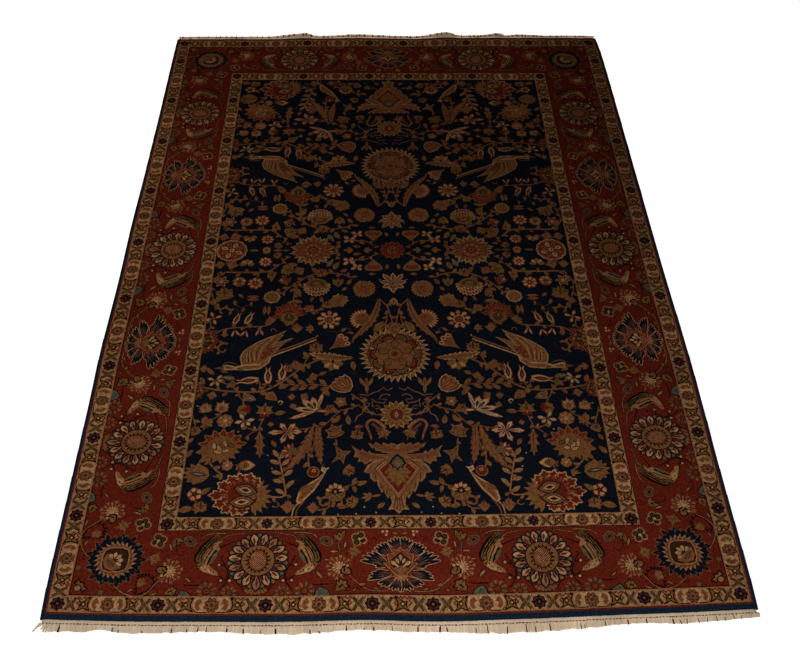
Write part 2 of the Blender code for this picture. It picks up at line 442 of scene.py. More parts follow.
# ------------------------------------------------------------------ large field motifs
def centre_flower(pen):
    for k in range(12):
        pen.petal(CAMEL, 30 * k, 12, 60, 26, 0.7)
    for k in range(12):
        pen.petal(RED, 30 * k, 14, 56, 21, 0.7)
    pen.paint(CAMEL, circle(22))
    pen.paint(RED, circle(18))
    pen.paint(GOLD, circle(12))
    pen.paint(BROWN, circle(7))


def lotus(pen):
    reach = ((-90, 66), (-52, 76), (-128, 76), (-12, 62), (-168, 62), (28, 54), (152, 54), (90, 58),
             (62, 40), (118, 40))
    for angle, r in reach:
        pen.petal(CREAM, angle, 6, r, 25, 0.75)
    for angle, r in reach:
        pen.petal(ROSE, angle, 10, r - 6, 15, 0.75)
        pen.petal(RED, angle, 12, r * 0.5, 5, 0.75)
    for dye, r in ((BROWN, 20), (CREAM, 16), (OLIVE, 11), (BROWN, 5)):
        pen.paint(dye, [complex(0, -r), complex(r * 0.7, 0), complex(0, r), complex(-r * 0.7, 0)])


def bell(pen):
    """A flared skirt with a scalloped hem, that opens along +x."""
    pen.paint(GOLD, [-30 + 0j, -14 - 14j, 8 - 34j, 24 - 38j, 34 - 30j, 38 + 0j, 34 + 30j, 24 + 38j, 8 + 34j,
                     -14 + 14j])
    skirt = pen.at(-26, 0)
    skirt.paint(ROSE, burst(8, 52, 62, -33, 33))
    skirt.paint(GOLD, burst(6, 26, 34, -34, 34))
    for k in range(7):
        skirt.petal(RED, -30 + 10 * k, 32, 56, 6)


def saz_leaf(pen):
    """A long curved leaf with a dark rib, and a half flower behind it."""
    sun = pen.at(136, 427)
    for k in range(11):
        angle = -100 + 16 * k
        sun.petal(RED, angle, 22, 62, 17, 0.8)
        sun.petal(CREAM, angle, 24, 57, 10, 0.8)
    sun.paint(CAMEL, wavy(36, 9, 0.05))
    sun.paint(ROSE, circle(27))
    spine = smooth([(66, 302), (72, 360), (96, 430), (140, 496), (172, 534), (182, 572)], 10)
    side = normals(spine)
    last = len(spine) - 1
    left, right, pale = [], [], []
    for k in range(1, last):
        t = k / last
        swell = math.sin(math.pi * t ** 0.8)
        tooth = 1.35 if k % 3 == 1 else 0.8
        left.append(spine[k] + side[k] * 17 * swell * tooth)
        pale.append(spine[k] + side[k] * 12 * swell)
        right.append(spine[k] - side[k] * (17 * swell + 1))
    pen.paint(ROSE, [spine[0]] + left + [spine[-1]] + right[::-1])
    pen.paint(CAMEL, [spine[0]] + pale + [spine[-1]] + right[::-1])
    pen.stroke(BROWN, spine, 3.4, 0.6)


def round_palmette(pen):
    """The great round palmette: a toothed rim, a ring of small fans, a lobed camel heart."""
    pen.paint(CREAM, star(34, 122, 153, 0.15))
    pen.paint(CAMEL, star(34, 114, 142, 0.15))
    pen.paint(BROWN, wavy(116, 12, 0.03))
    pen.paint(CAMEL, wavy(112, 12, 0.03))
    for k in range(10):
        spoke = pen.at(0, 0, -90 + 36 * (k + 0.5)).at(74, 0)
        fan(spoke, 38, 150, 5, RED if k % 2 else ROSE, BROWN, ROSE if k % 2 else SAGE, None, None)
    for k in range(10):
        spoke = pen.at(0, 0, -90 + 36 * k).at(102, 0)
        spoke.paint(BROWN, lens(-15, 15, 13))
        spoke.paint(SAGE if k % 2 else CREAM, lens(-12, 12, 9))
    pen.paint(BROWN, wavy(86, 10, 0.07))
    pen.paint(CAMEL, wavy(82, 10, 0.07))
    for k in range(5):
        petal = pen.at(0, 0, -90 + 72 * k)
        petal.paint(UMBER, lens(22, 78, 38, 0.7))
        petal.paint(GOLD, lens(26, 72, 30, 0.7))
        petal.paint(ROSE, lens(32, 62, 14, 0.7))
    for k in range(10):
        pen.petal(ROSE, -72 + 36 * k, 50, 74, 7)
    pen.paint(UMBER, wavy(33, 8, 0.1))
    pen.paint(CAMEL, wavy(29, 8, 0.1))
    pen.paint(RED, wavy(14, 6, 0.15))
    crown = pen.at(0, -136, -90)
    crown.paint(CAMEL, [-30, -14 + 24j, 8 + 26j, 26 + 12j, 40, 26 - 12j, 8 - 26j, -14 - 24j])
    crown.paint(BROWN, lens(-26, 26, 24))
    crown.paint(ROSE, lens(-22, 22, 17))
    for side in both_sides_of(pen):
        side.stroke(CAMEL, smooth([(10, -128), (22, -146), (40, -150), (52, -136), (66, -134)]), 9, 0.5)


def trumpet(pen):
    pen.paint(CAMEL, [-52, -20 + 9j, 4 + 26j, 26 + 44j, 40 + 36j, 46 + 12j, 40 - 14j, 34 - 36j, 14 - 32j,
                      -20 - 10j])
    pen.paint(ROSE, [-34, -10 + 8j, 10 + 20j, 28 + 30j, 34 + 6j, 28 - 24j, 8 - 18j, -14 - 6j])
    for x, y in ((34, 28), (40, 4), (30, -22)):
        eye = pen.at(x, y)
        for dye, r in ((RED, 14.5), (CREAM, 12), (GOLD, 7), (BROWN, 3.6)):
            eye.paint(dye, circle(r, 9))


def peony(pen):
    for k in range(12):
        angle = -20 + 17 * k
        pen.petal(RED, angle, 24, 55, 16, 0.8)
        pen.petal(CREAM, angle, 24, 50, 10, 0.8)
    pen.paint(GOLD, wavy(45, 9, 0.04))
    pen.paint(CAMEL, [z - 3 for z in wavy(39, 7, 0.05)])
    pen.paint(ROSE, [z + 8 for z in wavy(20, 5, 0.1)])
    pen.stroke(BROWN, smooth([(-20, -20), (-6, -8), (-16, 2), (-4, 8), (-10, 20), (6, 26), (22, 16),
                              (24, 26)]), 3)


def oak_bloom(pen):
    """A broad hand-shaped bloom whose thick fingers open along +x."""
    for k, (angle, reach) in enumerate(((-78, 40), (-50, 46), (-24, 50), (2, 52), (28, 50), (54, 46),
                                        (82, 40))):
        finger_pen = pen.at(-6, 0, angle)
        finger_pen.paint(OLIVE if k % 3 == 1 else CREAM, finger(reach, 19))
        finger_pen.paint(CAMEL if k % 2 else GOLD, finger(reach - 3, 15))
    pen.paint(GOLD, [-58 + 0j, -34 - 22j, -6 - 32j, 16 - 24j, 22 + 0j, 16 + 24j, -6 + 32j, -34 + 22j])
    pen.paint(CAMEL, [-50 + 0j, -30 - 16j, -6 - 25j, 12 - 18j, 16 + 0j, 12 + 18j, -6 + 25j, -30 + 16j])
    pen.paint(ROSE, [z - 2 for z in wavy(14, 5, 0.14)])


def fan_palmette(pen):
    """A gold dome above two rows of red and cream petals that open along +x."""
    fan(pen.at(-4, 0), 62, 216, 13, RED, CREAM, BROWN, None, None)
    fan(pen.at(-16, 0), 56, 176, 9, ROSE, CREAM, RED, None, None)
    for k in range(6):
        pen.paint(SHEEN_IVORY, [z + complex(10 + 3 * (k % 2), -35 + 14 * k) for z in circle(4.5, 7)])
    for k in range(5):
        pen.paint(BROWN, [z + complex(13, -28 + 14 * k) for z in circle(3, 6)])
    pen.paint(GOLD, [8 - 46j, -12 - 50j, -32 - 42j, -46 - 24j, -52 + 0j, -46 + 24j, -32 + 42j, -12 + 50j,
                     8 + 46j, 4 + 22j, 10 + 0j, 4 - 22j])
    pen.paint(OLIVE, [-4 - 34j, -24 - 34j, -40 - 14j, -42 + 10j, -28 + 30j, -6 + 34j, -10 + 12j, -4 - 10j])
    pen.paint(CAMEL, [-10 - 20j, -28 - 18j, -32 + 8j, -16 + 20j, -12 + 0j])


def flame_palmette(pen):
    flames(pen, 74, 9, 210, RED, CAMEL, CORAL, 0, 0.25)
    pen.paint(ROSE, burst(7, 34, 44, -90, 90))
    pen.paint(RED, burst(6, 22, 32, -80, 80))
    pen.paint(GOLD, [z - 22 for z in wavy(34, 7, 0.1, 1.05)])
    pen.paint(OLIVE, circle_at(-20, 23, 14))
    pen.paint(NAVY, lens(-34, 14, 20))
    pen.paint(GOLD, lens(-30, 8, 12))


def half_palmette(pen, r=76):
    """A red palmette, cut in half by the field's edge."""
    flames(pen, r, 9, 200, RED, ROSE, CREAM, 0, 0.3, 1.15)
    flames(pen, r * 0.72, 6, 190, MADDER, CAMEL, None, 0, 0.3, 1.2)
    for k in range(5):
        oval = pen.at(0, 0, -76 + 38 * k)
        oval.paint(BROWN, lens(r * 0.22, r * 0.56, r * 0.27, 1.0))
        oval.paint(OLIVE if k % 2 else GOLD, lens(r * 0.25, r * 0.53, r * 0.2, 1.0))
    pen.paint(GOLD, wavy(r * 0.26, 7, 0.1))
    pen.paint(RED, wavy(r * 0.14, 6, 0.1))


def side_medallion(pen):
    pen.paint(CREAM, wavy(70, 14, 0.03))
    pen.paint(ROSE, wavy(65, 14, 0.03))
    pen.paint(RED, circle(55))
    for k in range(8):
        pen.petal(CREAM if k % 2 else CAMEL, 22.5 + 45 * k, 12, 53, 25, 0.65)
        pen.petal(GOLD if k % 2 else RED, 22.5 + 45 * k, 20, 44, 9, 0.65)
    pen.paint(BROWN, circle(17))
    pen.paint(CREAM, wavy(13, 6, 0.1))
    pen.paint(RED, circle(5, 7))


def side_palmette(pen):
    """A round palmette with gold petals above and below a brown-red middle."""
    for flip in (False, True):
        half = pen.at(0, 0, 90 if not flip else -90)
        flames(half, 106, 9, 176, GOLD, CREAM, OLIVE, 0, 0.45, 0.85)
    pen.paint(CAMEL, star(22, 60, 76, 0.2, 0.92))
    pen.paint(RED, star(22, 52, 66, 0.2, 0.92))
    for flip in (False, True):
        half = pen.at(0, 0, 0 if not flip else 180)
        flames(half, 92, 3, 60, ROSE, RED, None, 0, 0.4)
    pen.paint(ROSE, wavy(46, 11, 0.08))
    for k in range(9):
        pen.petal(CREAM, 40 * k, 26, 40, 6)
    pen.paint(RED, wavy(24, 7, 0.1))
    pen.paint(CAMEL, wavy(14, 6, 0.1))
    pen.paint(BROWN, circle(6, 7))


Petal = namedtuple("Petal", "angle length width inner")

LILY = (
    Petal(180, 46, 9, None), Petal(-104, 92, 14, CORAL), Petal(-74, 70, 24, NAVY),
    Petal(19, 112, 15, CORAL), Petal(-44, 84, 25, NAVY), Petal(-8, 90, 22, NAVY),
)


def lily(pen):
    """A large flower seen from the side, its pointed petals edged in red and hollowed in navy."""
    for angle, length, width, inner in LILY:
        petal = pen.at(0, 0, angle)
        petal.paint(CORAL, blade(length + 5, width + 5, 0, 4, 0.12, 0.9))
        petal.paint(SHEEN_IVORY, blade(length - 1, width, 0, 4, 0.12, 0.9))
        if inner:
            petal.paint(inner, lens(12, length * 0.70, width * (0.52 if inner == NAVY else 0.30), 0.8))
        if inner == NAVY:
            petal.paint(SAGE, lens(20, length * 0.58, width * 0.16, 0.8))
    pen.paint(ROSE, circle(7))


def sunflower(pen):
    for k in range(16):
        pen.petal(CREAM if k % 2 else GOLD, 22.5 * k, 16, 70, 23, 0.8)
    for k in range(16):
        pen.petal(GOLD, 22.5 * k, 16, 65, 17, 0.8)
        pen.petal(UMBER, 22.5 * k, 30, 56, 3)
    pen.paint(UMBER, wavy(27, 8, 0.08))
    pen.paint(RED, wavy(24, 8, 0.08))
    for dye, r in ((ROSE, 17), (SHEEN_IVORY, 10), (CORAL, 6)):
        pen.paint(dye, [complex(0, -r * 1.25), complex(r * 0.8, 0), complex(0, r * 1.25),
                        complex(-r * 0.8, 0)])


CROWN_LEAF = [0 - 134j, 24 - 145j, 30 - 133j, 54 - 146j, 60 - 133j, 84 - 148j, 90 - 135j, 114 - 146j,
              101 - 122j, 86 - 119j, 84 - 108j, 66 - 105j, 62 - 99j, 38 - 97j, 0 - 92j]
CROWN_VEIN = [0 - 114j, 26 - 120j, 58 - 124j, 96 - 136j, 74 - 118j, 40 - 108j, 0 - 102j]
WING_LEAF = [30 - 90j, 66 - 92j, 100 - 96j, 110 - 109j, 117 - 98j, 136 - 118j, 142 - 107j, 178 - 134j,
             162 - 104j, 169 - 80j, 148 - 76j, 152 - 57j, 138 - 61j, 124 - 45j, 108 - 58j, 72 - 66j,
             36 - 66j]
WING_VEIN = [46 - 78j, 80 - 84j, 118 - 92j, 160 - 116j, 138 - 84j, 98 - 70j, 52 - 70j]
RIM_LEAF = [40 - 76j, 84 - 66j, 116 - 42j, 131 - 10j, 108 - 12j, 104 + 14j, 89 + 33j, 79 + 12j, 77 + 44j,
            62 + 80j, 54 + 62j, 50 + 84j, 38 + 104j, 31 + 88j, 24 + 126j, 40 + 152j, 17 + 149j, 0 + 168j,
            0 - 60j]
HEART = [44 - 64j, 82 - 24j, 60 + 10j, 36 + 44j, 0 + 98j, 0 - 60j]
HEART_LEAF = [0 - 94j, 30 - 90j, 43 - 62j, 30 - 34j, 52 - 8j, 35 - 2j, 45 + 14j, 27 + 16j, 29 + 34j,
              13 + 32j, 0 + 56j]
SEED = [0 - 94j, 20 - 76j, 34 - 50j, 24 - 42j, 19 - 26j, 9 - 32j, 0 - 14j]


def shield_palmette(pen):
    """A tall palmette about its upright middle line: crown and wing leaves, leafy rim and red heart."""
    def both_sides(dye, outline, grow=1.0):
        middle = complex(0, sum(z.imag for z in outline) / len(outline))
        half = [middle + (z - middle) * grow for z in outline]
        pen.paint(dye, half)
        pen.paint(dye, [-z.conjugate() for z in half])

    def side_leaf(outline, vein):
        middle = sum(outline) / len(outline)
        both_sides(BUFF, outline)
        core = [middle + (z - middle) * 0.88 for z in outline]
        both_sides(CAMEL, [complex(max(0, z.real), z.imag) for z in core])
        both_sides(ROSE, vein)

    both_sides(BUFF, RIM_LEAF)
    both_sides(CAMEL, RIM_LEAF, 0.93)
    side_leaf(CROWN_LEAF, CROWN_VEIN)
    side_leaf(WING_LEAF, WING_VEIN)
    for x, y, angle, length in ((104, -32, 52, 40), (86, 4, 96, 34), (64, 48, 98, 34), (44, 78, 104, 26)):
        for side, turn in ((1, angle), (-1, 180 - angle)):
            pen.paint(OLIVE, turned(lens(-length / 2, length / 2, 5.5), turn, complex(side * x, y)))
    for x, y in ((134, -54), (-134, -54)):
        pen.paint(NAVY, circle_at(complex(x, y), 3.4))
    for side in (-1, 1):
        for dye, x, width in ((MADDER, 17, 3.2), (BUFF, 26, 5.0), (MADDER, 6, 2.6)):
            foot = [complex(side * x * 0.6, 92), complex(side * x * 0.8, 120), complex(side * x * 1.1, 146)]
            pen.stroke(dye, foot, width)
    both_sides(CAMEL, [0 - 104j, 34 - 100j, 44 - 82j, 0 - 80j])
    for dye, grow in ((MADDER, 1.10), (BUFF, 1.05), (ROSE, 0.97), (BUFF, 0.92), (RED, 0.84)):
        both_sides(dye, HEART, grow)
    for dye, grow in ((CAMEL, 1.0), (GOLD, 0.90)):
        both_sides(dye, HEART_LEAF, grow)
    for dye, grow in ((NAVY, 1.0), (SAGE, 0.74), (CAMEL, 0.40)):
        both_sides(dye, SEED, grow)


def corner_palmette(pen):
    """A red flame palmette that opens to the right, with two chain-edged eyes."""
    left = pen.at(-26, 8)
    left.paint(CAMEL, burst(9, 62, 86, 100, 262))
    left.paint(GOLD, burst(8, 48, 64, 110, 250))
    for angle, r in ((-128, 92), (-104, 98), (-78, 96), (-54, 104), (-28, 112), (0, 128), (24, 116),
                     (46, 104), (70, 92), (92, 84)):
        tongue = pen.at(0, 0, angle).at(26, 0)
        tongue.paint(CREAM, blade(r - 22, 42, 0, 4, 0.34, 0.9))
        tongue.paint(RED, blade(r - 28, 34, 0, 4, 0.34, 0.9))
        tongue.paint(SAGE if r % 4 else ROSE, lens(8, r * 0.5, 13))
    pen.paint(RED, circle(58))
    pen.paint(CAMEL, lens(-70, 10, 56))
    for x, y, angle, length in ((-8, -20, -14, 44), (2, 30, 4, 46)):
        eye = pen.at(x, y, angle)
        eye.paint(NAVY, lens(-length - 4, length + 4, 56, 1.0, 7))
        eye.paint(GOLD, lens(-length + 2, length - 2, 47, 1.0, 7))
        for k in range(7):
            eye.paint(NAVY, turned(lens(-2.4, 2.4, 3.6), 90, complex(-33 + 11 * k, -17 - 3 * (k % 2))))
            eye.paint(NAVY, turned(lens(-2.4, 2.4, 3.6), 90, complex(-33 + 11 * k, 17 + 3 * (k % 2))))
        eye.paint(NAVY, lens(-length + 12, length - 12, 33, 1.0, 6))
        eye.paint(CREAM, lens(-length + 16, length - 16, 26, 1.0, 6))
        eye.paint(RED, lens(-16, 16, 15, 1.0))
        eye.paint(BROWN, lens(-9, 9, 8, 1.0))


def crown_palmette(pen):
    """A broad palmette: red tongues above, camel teeth below, and pale petals in its round middle."""
    for k in range(9):
        angle = 168 - 26 * k
        reach = 76 - 9 * math.sin(math.radians(angle))
        tongue = pen.at(0, 0, -angle)
        tongue.paint(CAMEL, blade(reach + 24, 34, 0, 3, 0.25, 0.8))
        tongue.paint(RED if k < 7 else CAMEL, blade(reach + 16, 21, 0, 3, 0.2, 0.8))
        tongue.paint(CORAL, lens(reach * 0.6, reach + 2, 5))
    pen.paint(CAMEL, burst(9, 56, 78, -14, 196))
    pen.paint(GOLD, burst(8, 46, 62, -10, 190))
    pen.paint(CAMEL, wavy(58, 13, 0.04, 0.9))
    pen.paint(GOLD, [z - 6 for z in wavy(46, 9, 0.05, 0.85)])
    for x, y, angle, length in ((-36, -8, -30, 30), (-12, -16, -70, 34), (8, 8, -60, 44), (30, -6, -80, 40),
                                (-18, 16, 10, 30), (14, 22, -20, 34)):
        petal = pen.at(x, y, angle)
        petal.paint(BROWN, lens(-length / 2 - 3, length / 2 + 3, 21, 0.9))
        petal.paint(CREAM if x > -20 else ROSE, lens(-length / 2, length / 2, 15, 0.9))


def round_bud(pen):
    pen.paint(RED, lens(-38, 36, 50, 1.1, 7))
    pen.paint(CREAM, lens(-34, 32, 42, 1.1, 7))
    pen.paint(CAMEL, lens(-34, 10, 40, 1.0, 7))
    pen.paint(BROWN, circle(11))
    pen.paint(GOLD, circle(8))
    pen.paint(BROWN, circle(3.5, 6))


def blue_leaf(pen):
    """A broad leaf of seven lobes with a pale spindle at its heart."""
    tips = ((0, 64), (24, 58), (50, 54), (82, 48), (128, 40), (180, 44), (-150, 42), (-112, 40), (-78, 50),
            (-46, 56), (-22, 60))
    leaf_pen = pen.at(46, 0)
    spiky(leaf_pen, GOLD, tips, 40)
    spiky(leaf_pen, CAMEL, [(angle, reach * 0.8) for angle, reach in tips], 33)
    leaf_pen.paint(NAVY, lens(-36, 36, 20, 1.0))
    leaf_pen.paint(BLUE, lens(-29, 29, 13, 1.0))
    leaf_pen.paint(CREAM, lens(-18, 18, 4, 1.0))
    for angle in (24, 50, -22, -46):
        leaf_pen.petal(UMBER, angle, 22, 48, 3)


def long_bird(pen):
    """A bird in flight to the right with two raised wing points and a split tail."""
    tail = smooth([(-74, -124), (10, -82), (90, -44), (140, -16)], 14)
    for shift, dye in ((-7j, CAMEL), (7j, CREAM)):
        pen.stroke(dye, [z + shift for z in tail], 6.5)
    for k in range(2, len(tail) - 2):
        pen.paint(BROWN, [z + tail[k] for z in turned(lens(-5, 5, 3.4), 26)])
    wing = [59 - 166j, 92 - 146j, 132 - 128j, 170 - 106j, 204 - 80j, 228 - 58j, 240 - 24j, 234 + 6j,
            226 + 26j, 178 + 26j, 130 - 8j, 104 - 44j, 70 - 88j, 28 - 124j, 66 - 112j, 104 - 96j, 84 - 124j]
    middle = 150 - 50j
    pen.paint(CREAM, [middle + (z - middle) * 1.03 for z in wing])
    pen.paint(CAMEL, [middle + (z - middle) * 0.98 for z in wing])
    for k in range(9):
        share = k / 8
        root = complex(150 + 62 * share, -10 + 22 * share - 20 * abs(share - 0.5))
        tip = complex(66 + 150 * share, -146 + 92 * share - 18 * math.sin(math.pi * share))
        bow = (root + tip) / 2 + complex(22, -8) * math.sin(math.pi * share)
        pen.stroke(BROWN if k % 2 else CREAM, smooth([root, bow, tip * 0.96 + middle * 0.04], 14), 3.2, 0.4)
    pen.paint(ROSE, [98 - 72j, 120 - 78j, 146 - 62j, 158 - 34j, 152 - 6j, 128 - 22j])
    for x, y in ((104, -70), (118, -62), (110, -52), (128, -50), (122, -38), (138, -38), (136, -24),
                 (148, -18), (146, -46), (130, -70)):
        pen.paint(RED, [z + complex(x, y) for z in wavy(6, 3, 0.3)])
    pen.paint(CREAM, [112 - 24j, 150 + 14j, 178 + 12j, 226 + 16j, 262 + 30j, 264 + 44j, 210 + 48j,
                      156 + 42j, 118 + 8j])
    pen.paint(CAMEL, [120 - 12j, 156 + 20j, 222 + 24j, 256 + 36j, 208 + 42j, 158 + 36j, 124 + 6j])
    for k in range(7):
        pen.paint(GOLD, turned(lens(-6, 6, 5), 20, complex(146 + 16 * k, 29 + 2 * k)))
    pen.paint(CREAM, [250 + 30j, 270 + 22j, 296 + 16j, 308 + 22j, 304 + 44j, 268 + 46j])
    pen.paint(CAMEL, [260 + 32j, 280 + 26j, 300 + 24j, 300 + 38j, 272 + 42j])
    pen.paint(BROWN, circle_at(288 + 32j, 3.4))
    pen.stroke(CAMEL, smooth([(250, 16), (276, 6), (300, 6), (310, 18)]), 4, 0.3)
    pen.paint(CAMEL, [304 + 24j, 346 + 36j, 304 + 42j])
    pen.paint(BROWN, [306 + 31j, 334 + 35j, 306 + 35j])


def circle_at(spot, r, n=0):
    return [z + spot for z in circle(r, n)]


def small_bird(pen):
    """A slender perched bird, head up, with a long tail down to the right."""
    pen.stroke(CREAM, smooth([(30, 52), (56, 86), (64, 120)]), 6, 0.3)
    pen.stroke(ROSE, smooth([(20, 56), (44, 92), (50, 122)]), 6, 0.3)
    pen.paint(CREAM, [-64 - 84j, -48 - 62j, -24 - 38j, 14 - 12j, 44 + 22j, 52 + 60j, 38 + 72j, 18 + 52j,
                      -14 + 16j, -34 - 18j, -48 - 48j])
    pen.paint(CAMEL, [-52 - 64j, -28 - 34j, 8 - 8j, 36 + 24j, 44 + 58j, 36 + 62j, 20 + 44j, -8 + 12j,
                      -28 - 20j, -44 - 48j])
    for x, y in ((-14, -14), (-2, 2), (10, 14), (20, 28), (30, 42), (-24, -28)):
        pen.paint(RED, turned(lens(-7, 7, 4), 50, complex(x, y)))
    pen.paint(ROSE, [4 - 14j, 34 - 2j, 46 + 22j, 30 + 18j])
    pen.paint(CREAM, [-70 - 86j, -54 - 84j, -40 - 92j, -36 - 74j, -48 - 62j])
    pen.paint(BROWN, circle_at(-50 - 76j, 3))
    for angle in (-120, -90, -60):
        pen.paint(OLIVE, turned(lens(0, 18, 3), angle, -46 - 88j))


# ------------------------------------------------------------------ where the field's motifs lie
Motif = namedtuple("Motif", "draw x y turn size")


def m(draw, x, y, turn=0.0, size=1.0):
    """One row of the tables of motifs: what is drawn, and its place, turn and size."""
    return Motif(draw, x, y, turn, size)


def set_form(draw, *values, back=0):
    """A common form with set values, as a motif of its own; it may start behind its place."""
    return lambda pen: draw(pen.at(back, 0) if back else pen, *values)


camel_leaf = set_form(leaf, 44, 20, 16, CAMEL, None, UMBER, back=-18)
gold_leaf = set_form(leaf, 44, 20, 16, GOLD, None, OLIVE, back=-18)
rose_leaf = set_form(leaf, 44, 20, 16, ROSE, None, RED, back=-18)
sage_leaf = set_form(leaf, 46, 21, 0, SAGE, None, CREAM, back=-18)
camel_maple = set_form(maple, 28, CAMEL, UMBER)
gold_maple = set_form(maple, 28, GOLD, OLIVE)
camel_sprig = set_form(sprig, 23, CAMEL, ROSE)
gold_sprig = set_form(sprig, 23, GOLD, OLIVE)
bud_axis = set_form(tulip, 34, ROSE, CREAM, RED)
gold_tulip = set_form(tulip, 44, GOLD, None, OLIVE)
camel_tulip = set_form(tulip, 42, CAMEL, None, ROSE)
red_rosette = set_form(rosette, 32, 8, CREAM, RED, RED, CREAM)
five_petals = set_form(rosette, 29, 5, CREAM, RED, NAVY, SAGE)
four_petals = set_form(aster, 34, 4, CREAM, RED, ROSE)
star_flower = set_form(aster, 34, 6, RED, CREAM, CREAM)
hook = set_form(curl, 14, CAMEL, 3.6, 230)


def coral_fan(pen):
    """A small half flower with a sage cup, open along +x."""
    for k in range(7):
        angle = -96 + 30 * k
        pen.petal(RED, angle, 4, 40, 17, 0.8)
        pen.petal(SHEEN_IVORY if k % 2 else ROSE, angle, 10, 36, 9, 0.8)
    pen.paint(CAMEL, [z - 8 for z in wavy(17, 6, 0.1)])
    pen.paint(SAGE, [z - 8 for z in wavy(12, 6, 0.1)])


def half_rosette(pen):
    """A flower with pale petals above, a navy eye and a gold cup below."""
    for k in range(5):
        angle = -160 + 35 * k
        pen.petal(RED, angle, 8, 42, 23, 0.7)
        pen.petal(CREAM, angle, 14, 38, 16, 0.7)
    pen.paint(GOLD, [-38 - 2j, -14 + 6j, 12 + 4j, 38 - 2j, 36 + 18j, 22 + 34j, 0 + 40j, -22 + 34j,
                     -36 + 18j])
    for angle in (30, 70, 110, 150):
        pen.petal(UMBER, angle, 14, 34, 4)
    pen.paint(NAVY, [z - 3j for z in star(8, 9, 19)])
    pen.paint(CREAM, [z - 3j for z in star(5, 3, 8)])


def holly_leaf(pen):
    """A long leaf with barbed sides and a dark rib."""
    half = [0j, 26 + 9j, 40 + 22j, 44 + 11j, 62 + 14j, 76 + 25j, 80 + 11j, 98 + 10j, 112 + 17j, 112 + 5j]
    for dye, share in ((ROSE, 1.0), (CAMEL, 0.86)):
        outline = [complex(z.real, z.imag * share) for z in half]
        pen.paint(dye, outline + [134 + 0j] + [z.conjugate() for z in outline[:0:-1]])
    pen.stroke(UMBER, [20 + 0j, 60 + 2j, 116 + 0j], 3, 0.4)


def whorl(pen):
    """A round flower whose pale petals curl one way round a red swirl."""
    for k in range(9):
        petal = pen.at(0, 0, 40 * k).at(20, 0, 24)
        petal.paint(RED, blade(36, 25, 30, 0, 0, 0.7))
        petal.at(2, 0).paint(CREAM if k % 3 else BUFF, blade(31, 18, 30, 0, 0, 0.7))
    pen.paint(CREAM, wavy(25, 7, 0.08))
    pen.paint(ROSE, wavy(21, 7, 0.08))
    pen.stroke(RED, [polar(19 - 1.7 * k, 50 * k) for k in range(10)], 4)


def lumpy_flower(pen):
    """A round flower of soft pale lumps on a rose ground."""
    pen.paint(CAMEL, wavy(31, 8, 0.07))
    pen.paint(ROSE, wavy(27, 8, 0.07))
    for k in range(7):
        pen.petal(BUFF, 51.4 * k + 10, 9, 29, 13, 0.8, 4)
    pen.paint(CREAM, wavy(9, 5, 0.1))


def crown_flower(pen):
    """A soft flower with three crown points above a rose heart, open along +x."""
    tips = ((0, 40), (24, 27), (46, 38), (80, 29), (116, 30), (180, 27), (-116, 30), (-80, 29), (-46, 38),
            (-24, 27))
    spiky(pen, CAMEL, tips, 24)
    spiky(pen, BUFF, [(angle, reach * 0.8) for angle, reach in tips], 19)
    pen.paint(ROSE, [z - 4 for z in wavy(12, 5, 0.15)])
    for angle in (-46, 0, 46):
        pen.petal(CREAM, angle, 12, 28, 7)


def rose_maple(pen):
    maple(pen, 34, CAMEL)
    maple(pen, 27, BUFF, ROSE)


def cream_star(pen):
    """Five uneven pale petals about an olive heart."""
    for angle, reach in ((-60, 40), (14, 38), (76, 34), (138, 32), (190, 40)):
        pen.petal(OLIVE, angle, 2, reach + 3, 20, 0.8)
        pen.petal(CREAM, angle, 7, reach, 14, 0.8)
    pen.paint(OLIVE, circle(8))
    pen.paint(RED, circle(3, 6))


def gold_red_flower(pen):
    """A gold flower with red petals on one side."""
    for angle in (150, 190, 230):
        pen.petal(RED, angle, 2, 30, 19, 0.8)
    for angle in (-80, -36, 8, 52, 96):
        pen.petal(GOLD, angle, 2, 30, 21, 0.75)
    pen.petal(OLIVE, 8, 6, 22, 8)
    pen.paint(RED, circle(9))


def maple_flower(pen):
    """A seven-pointed gold leaf with a red flower in its foot, open along +x."""
    tips = ((0, 44), (34, 28), (52, 46), (84, 30), (104, 40), (150, 26), (180, 34), (-150, 26), (-104, 40),
            (-84, 30), (-52, 46), (-34, 28))
    spiky(pen, GOLD, tips, 24)
    pen.paint(OLIVE, lens(2, 32, 9))
    foot = pen.at(-12, 0)
    for angle in (180, 130, -130, 0):
        foot.petal(RED, angle, 0, 27, 13, 0.8)
    foot.paint(CREAM, lens(-8, 8, 5))


def striped_bud(pen):
    """A long bud with a red stripe, open along +x, and two curled feet."""
    pen.paint(GOLD, blade(66, 42, 8, 3, 0.12, 0.75))
    pen.paint(CAMEL, blade(58, 32, 8, 0, 0, 0.75))
    pen.at(12, 0).paint(RED, lens(0, 34, 13, 0.9))
    pen.at(20, 0).paint(CREAM, lens(0, 18, 3, 0.9))
    for angle in (130, -150):
        curl(pen.at(-12, 0, angle), 12, CREAM, 3.2, 220)


def sage_bud(pen):
    """A plump bud: a camel rim round a sage leaf."""
    pen.at(-30, 0).paint(CAMEL, blade(62, 34, 0, 3, 0.14, 0.9))
    pen.at(-24, 0).paint(SAGE, blade(48, 22, 0, 0, 0, 0.9))
    pen.at(-24, 0).paint(CREAM, lens(4, 40, 4))
    pen.at(-24, 0).paint(ROSE, lens(22, 44, 9))


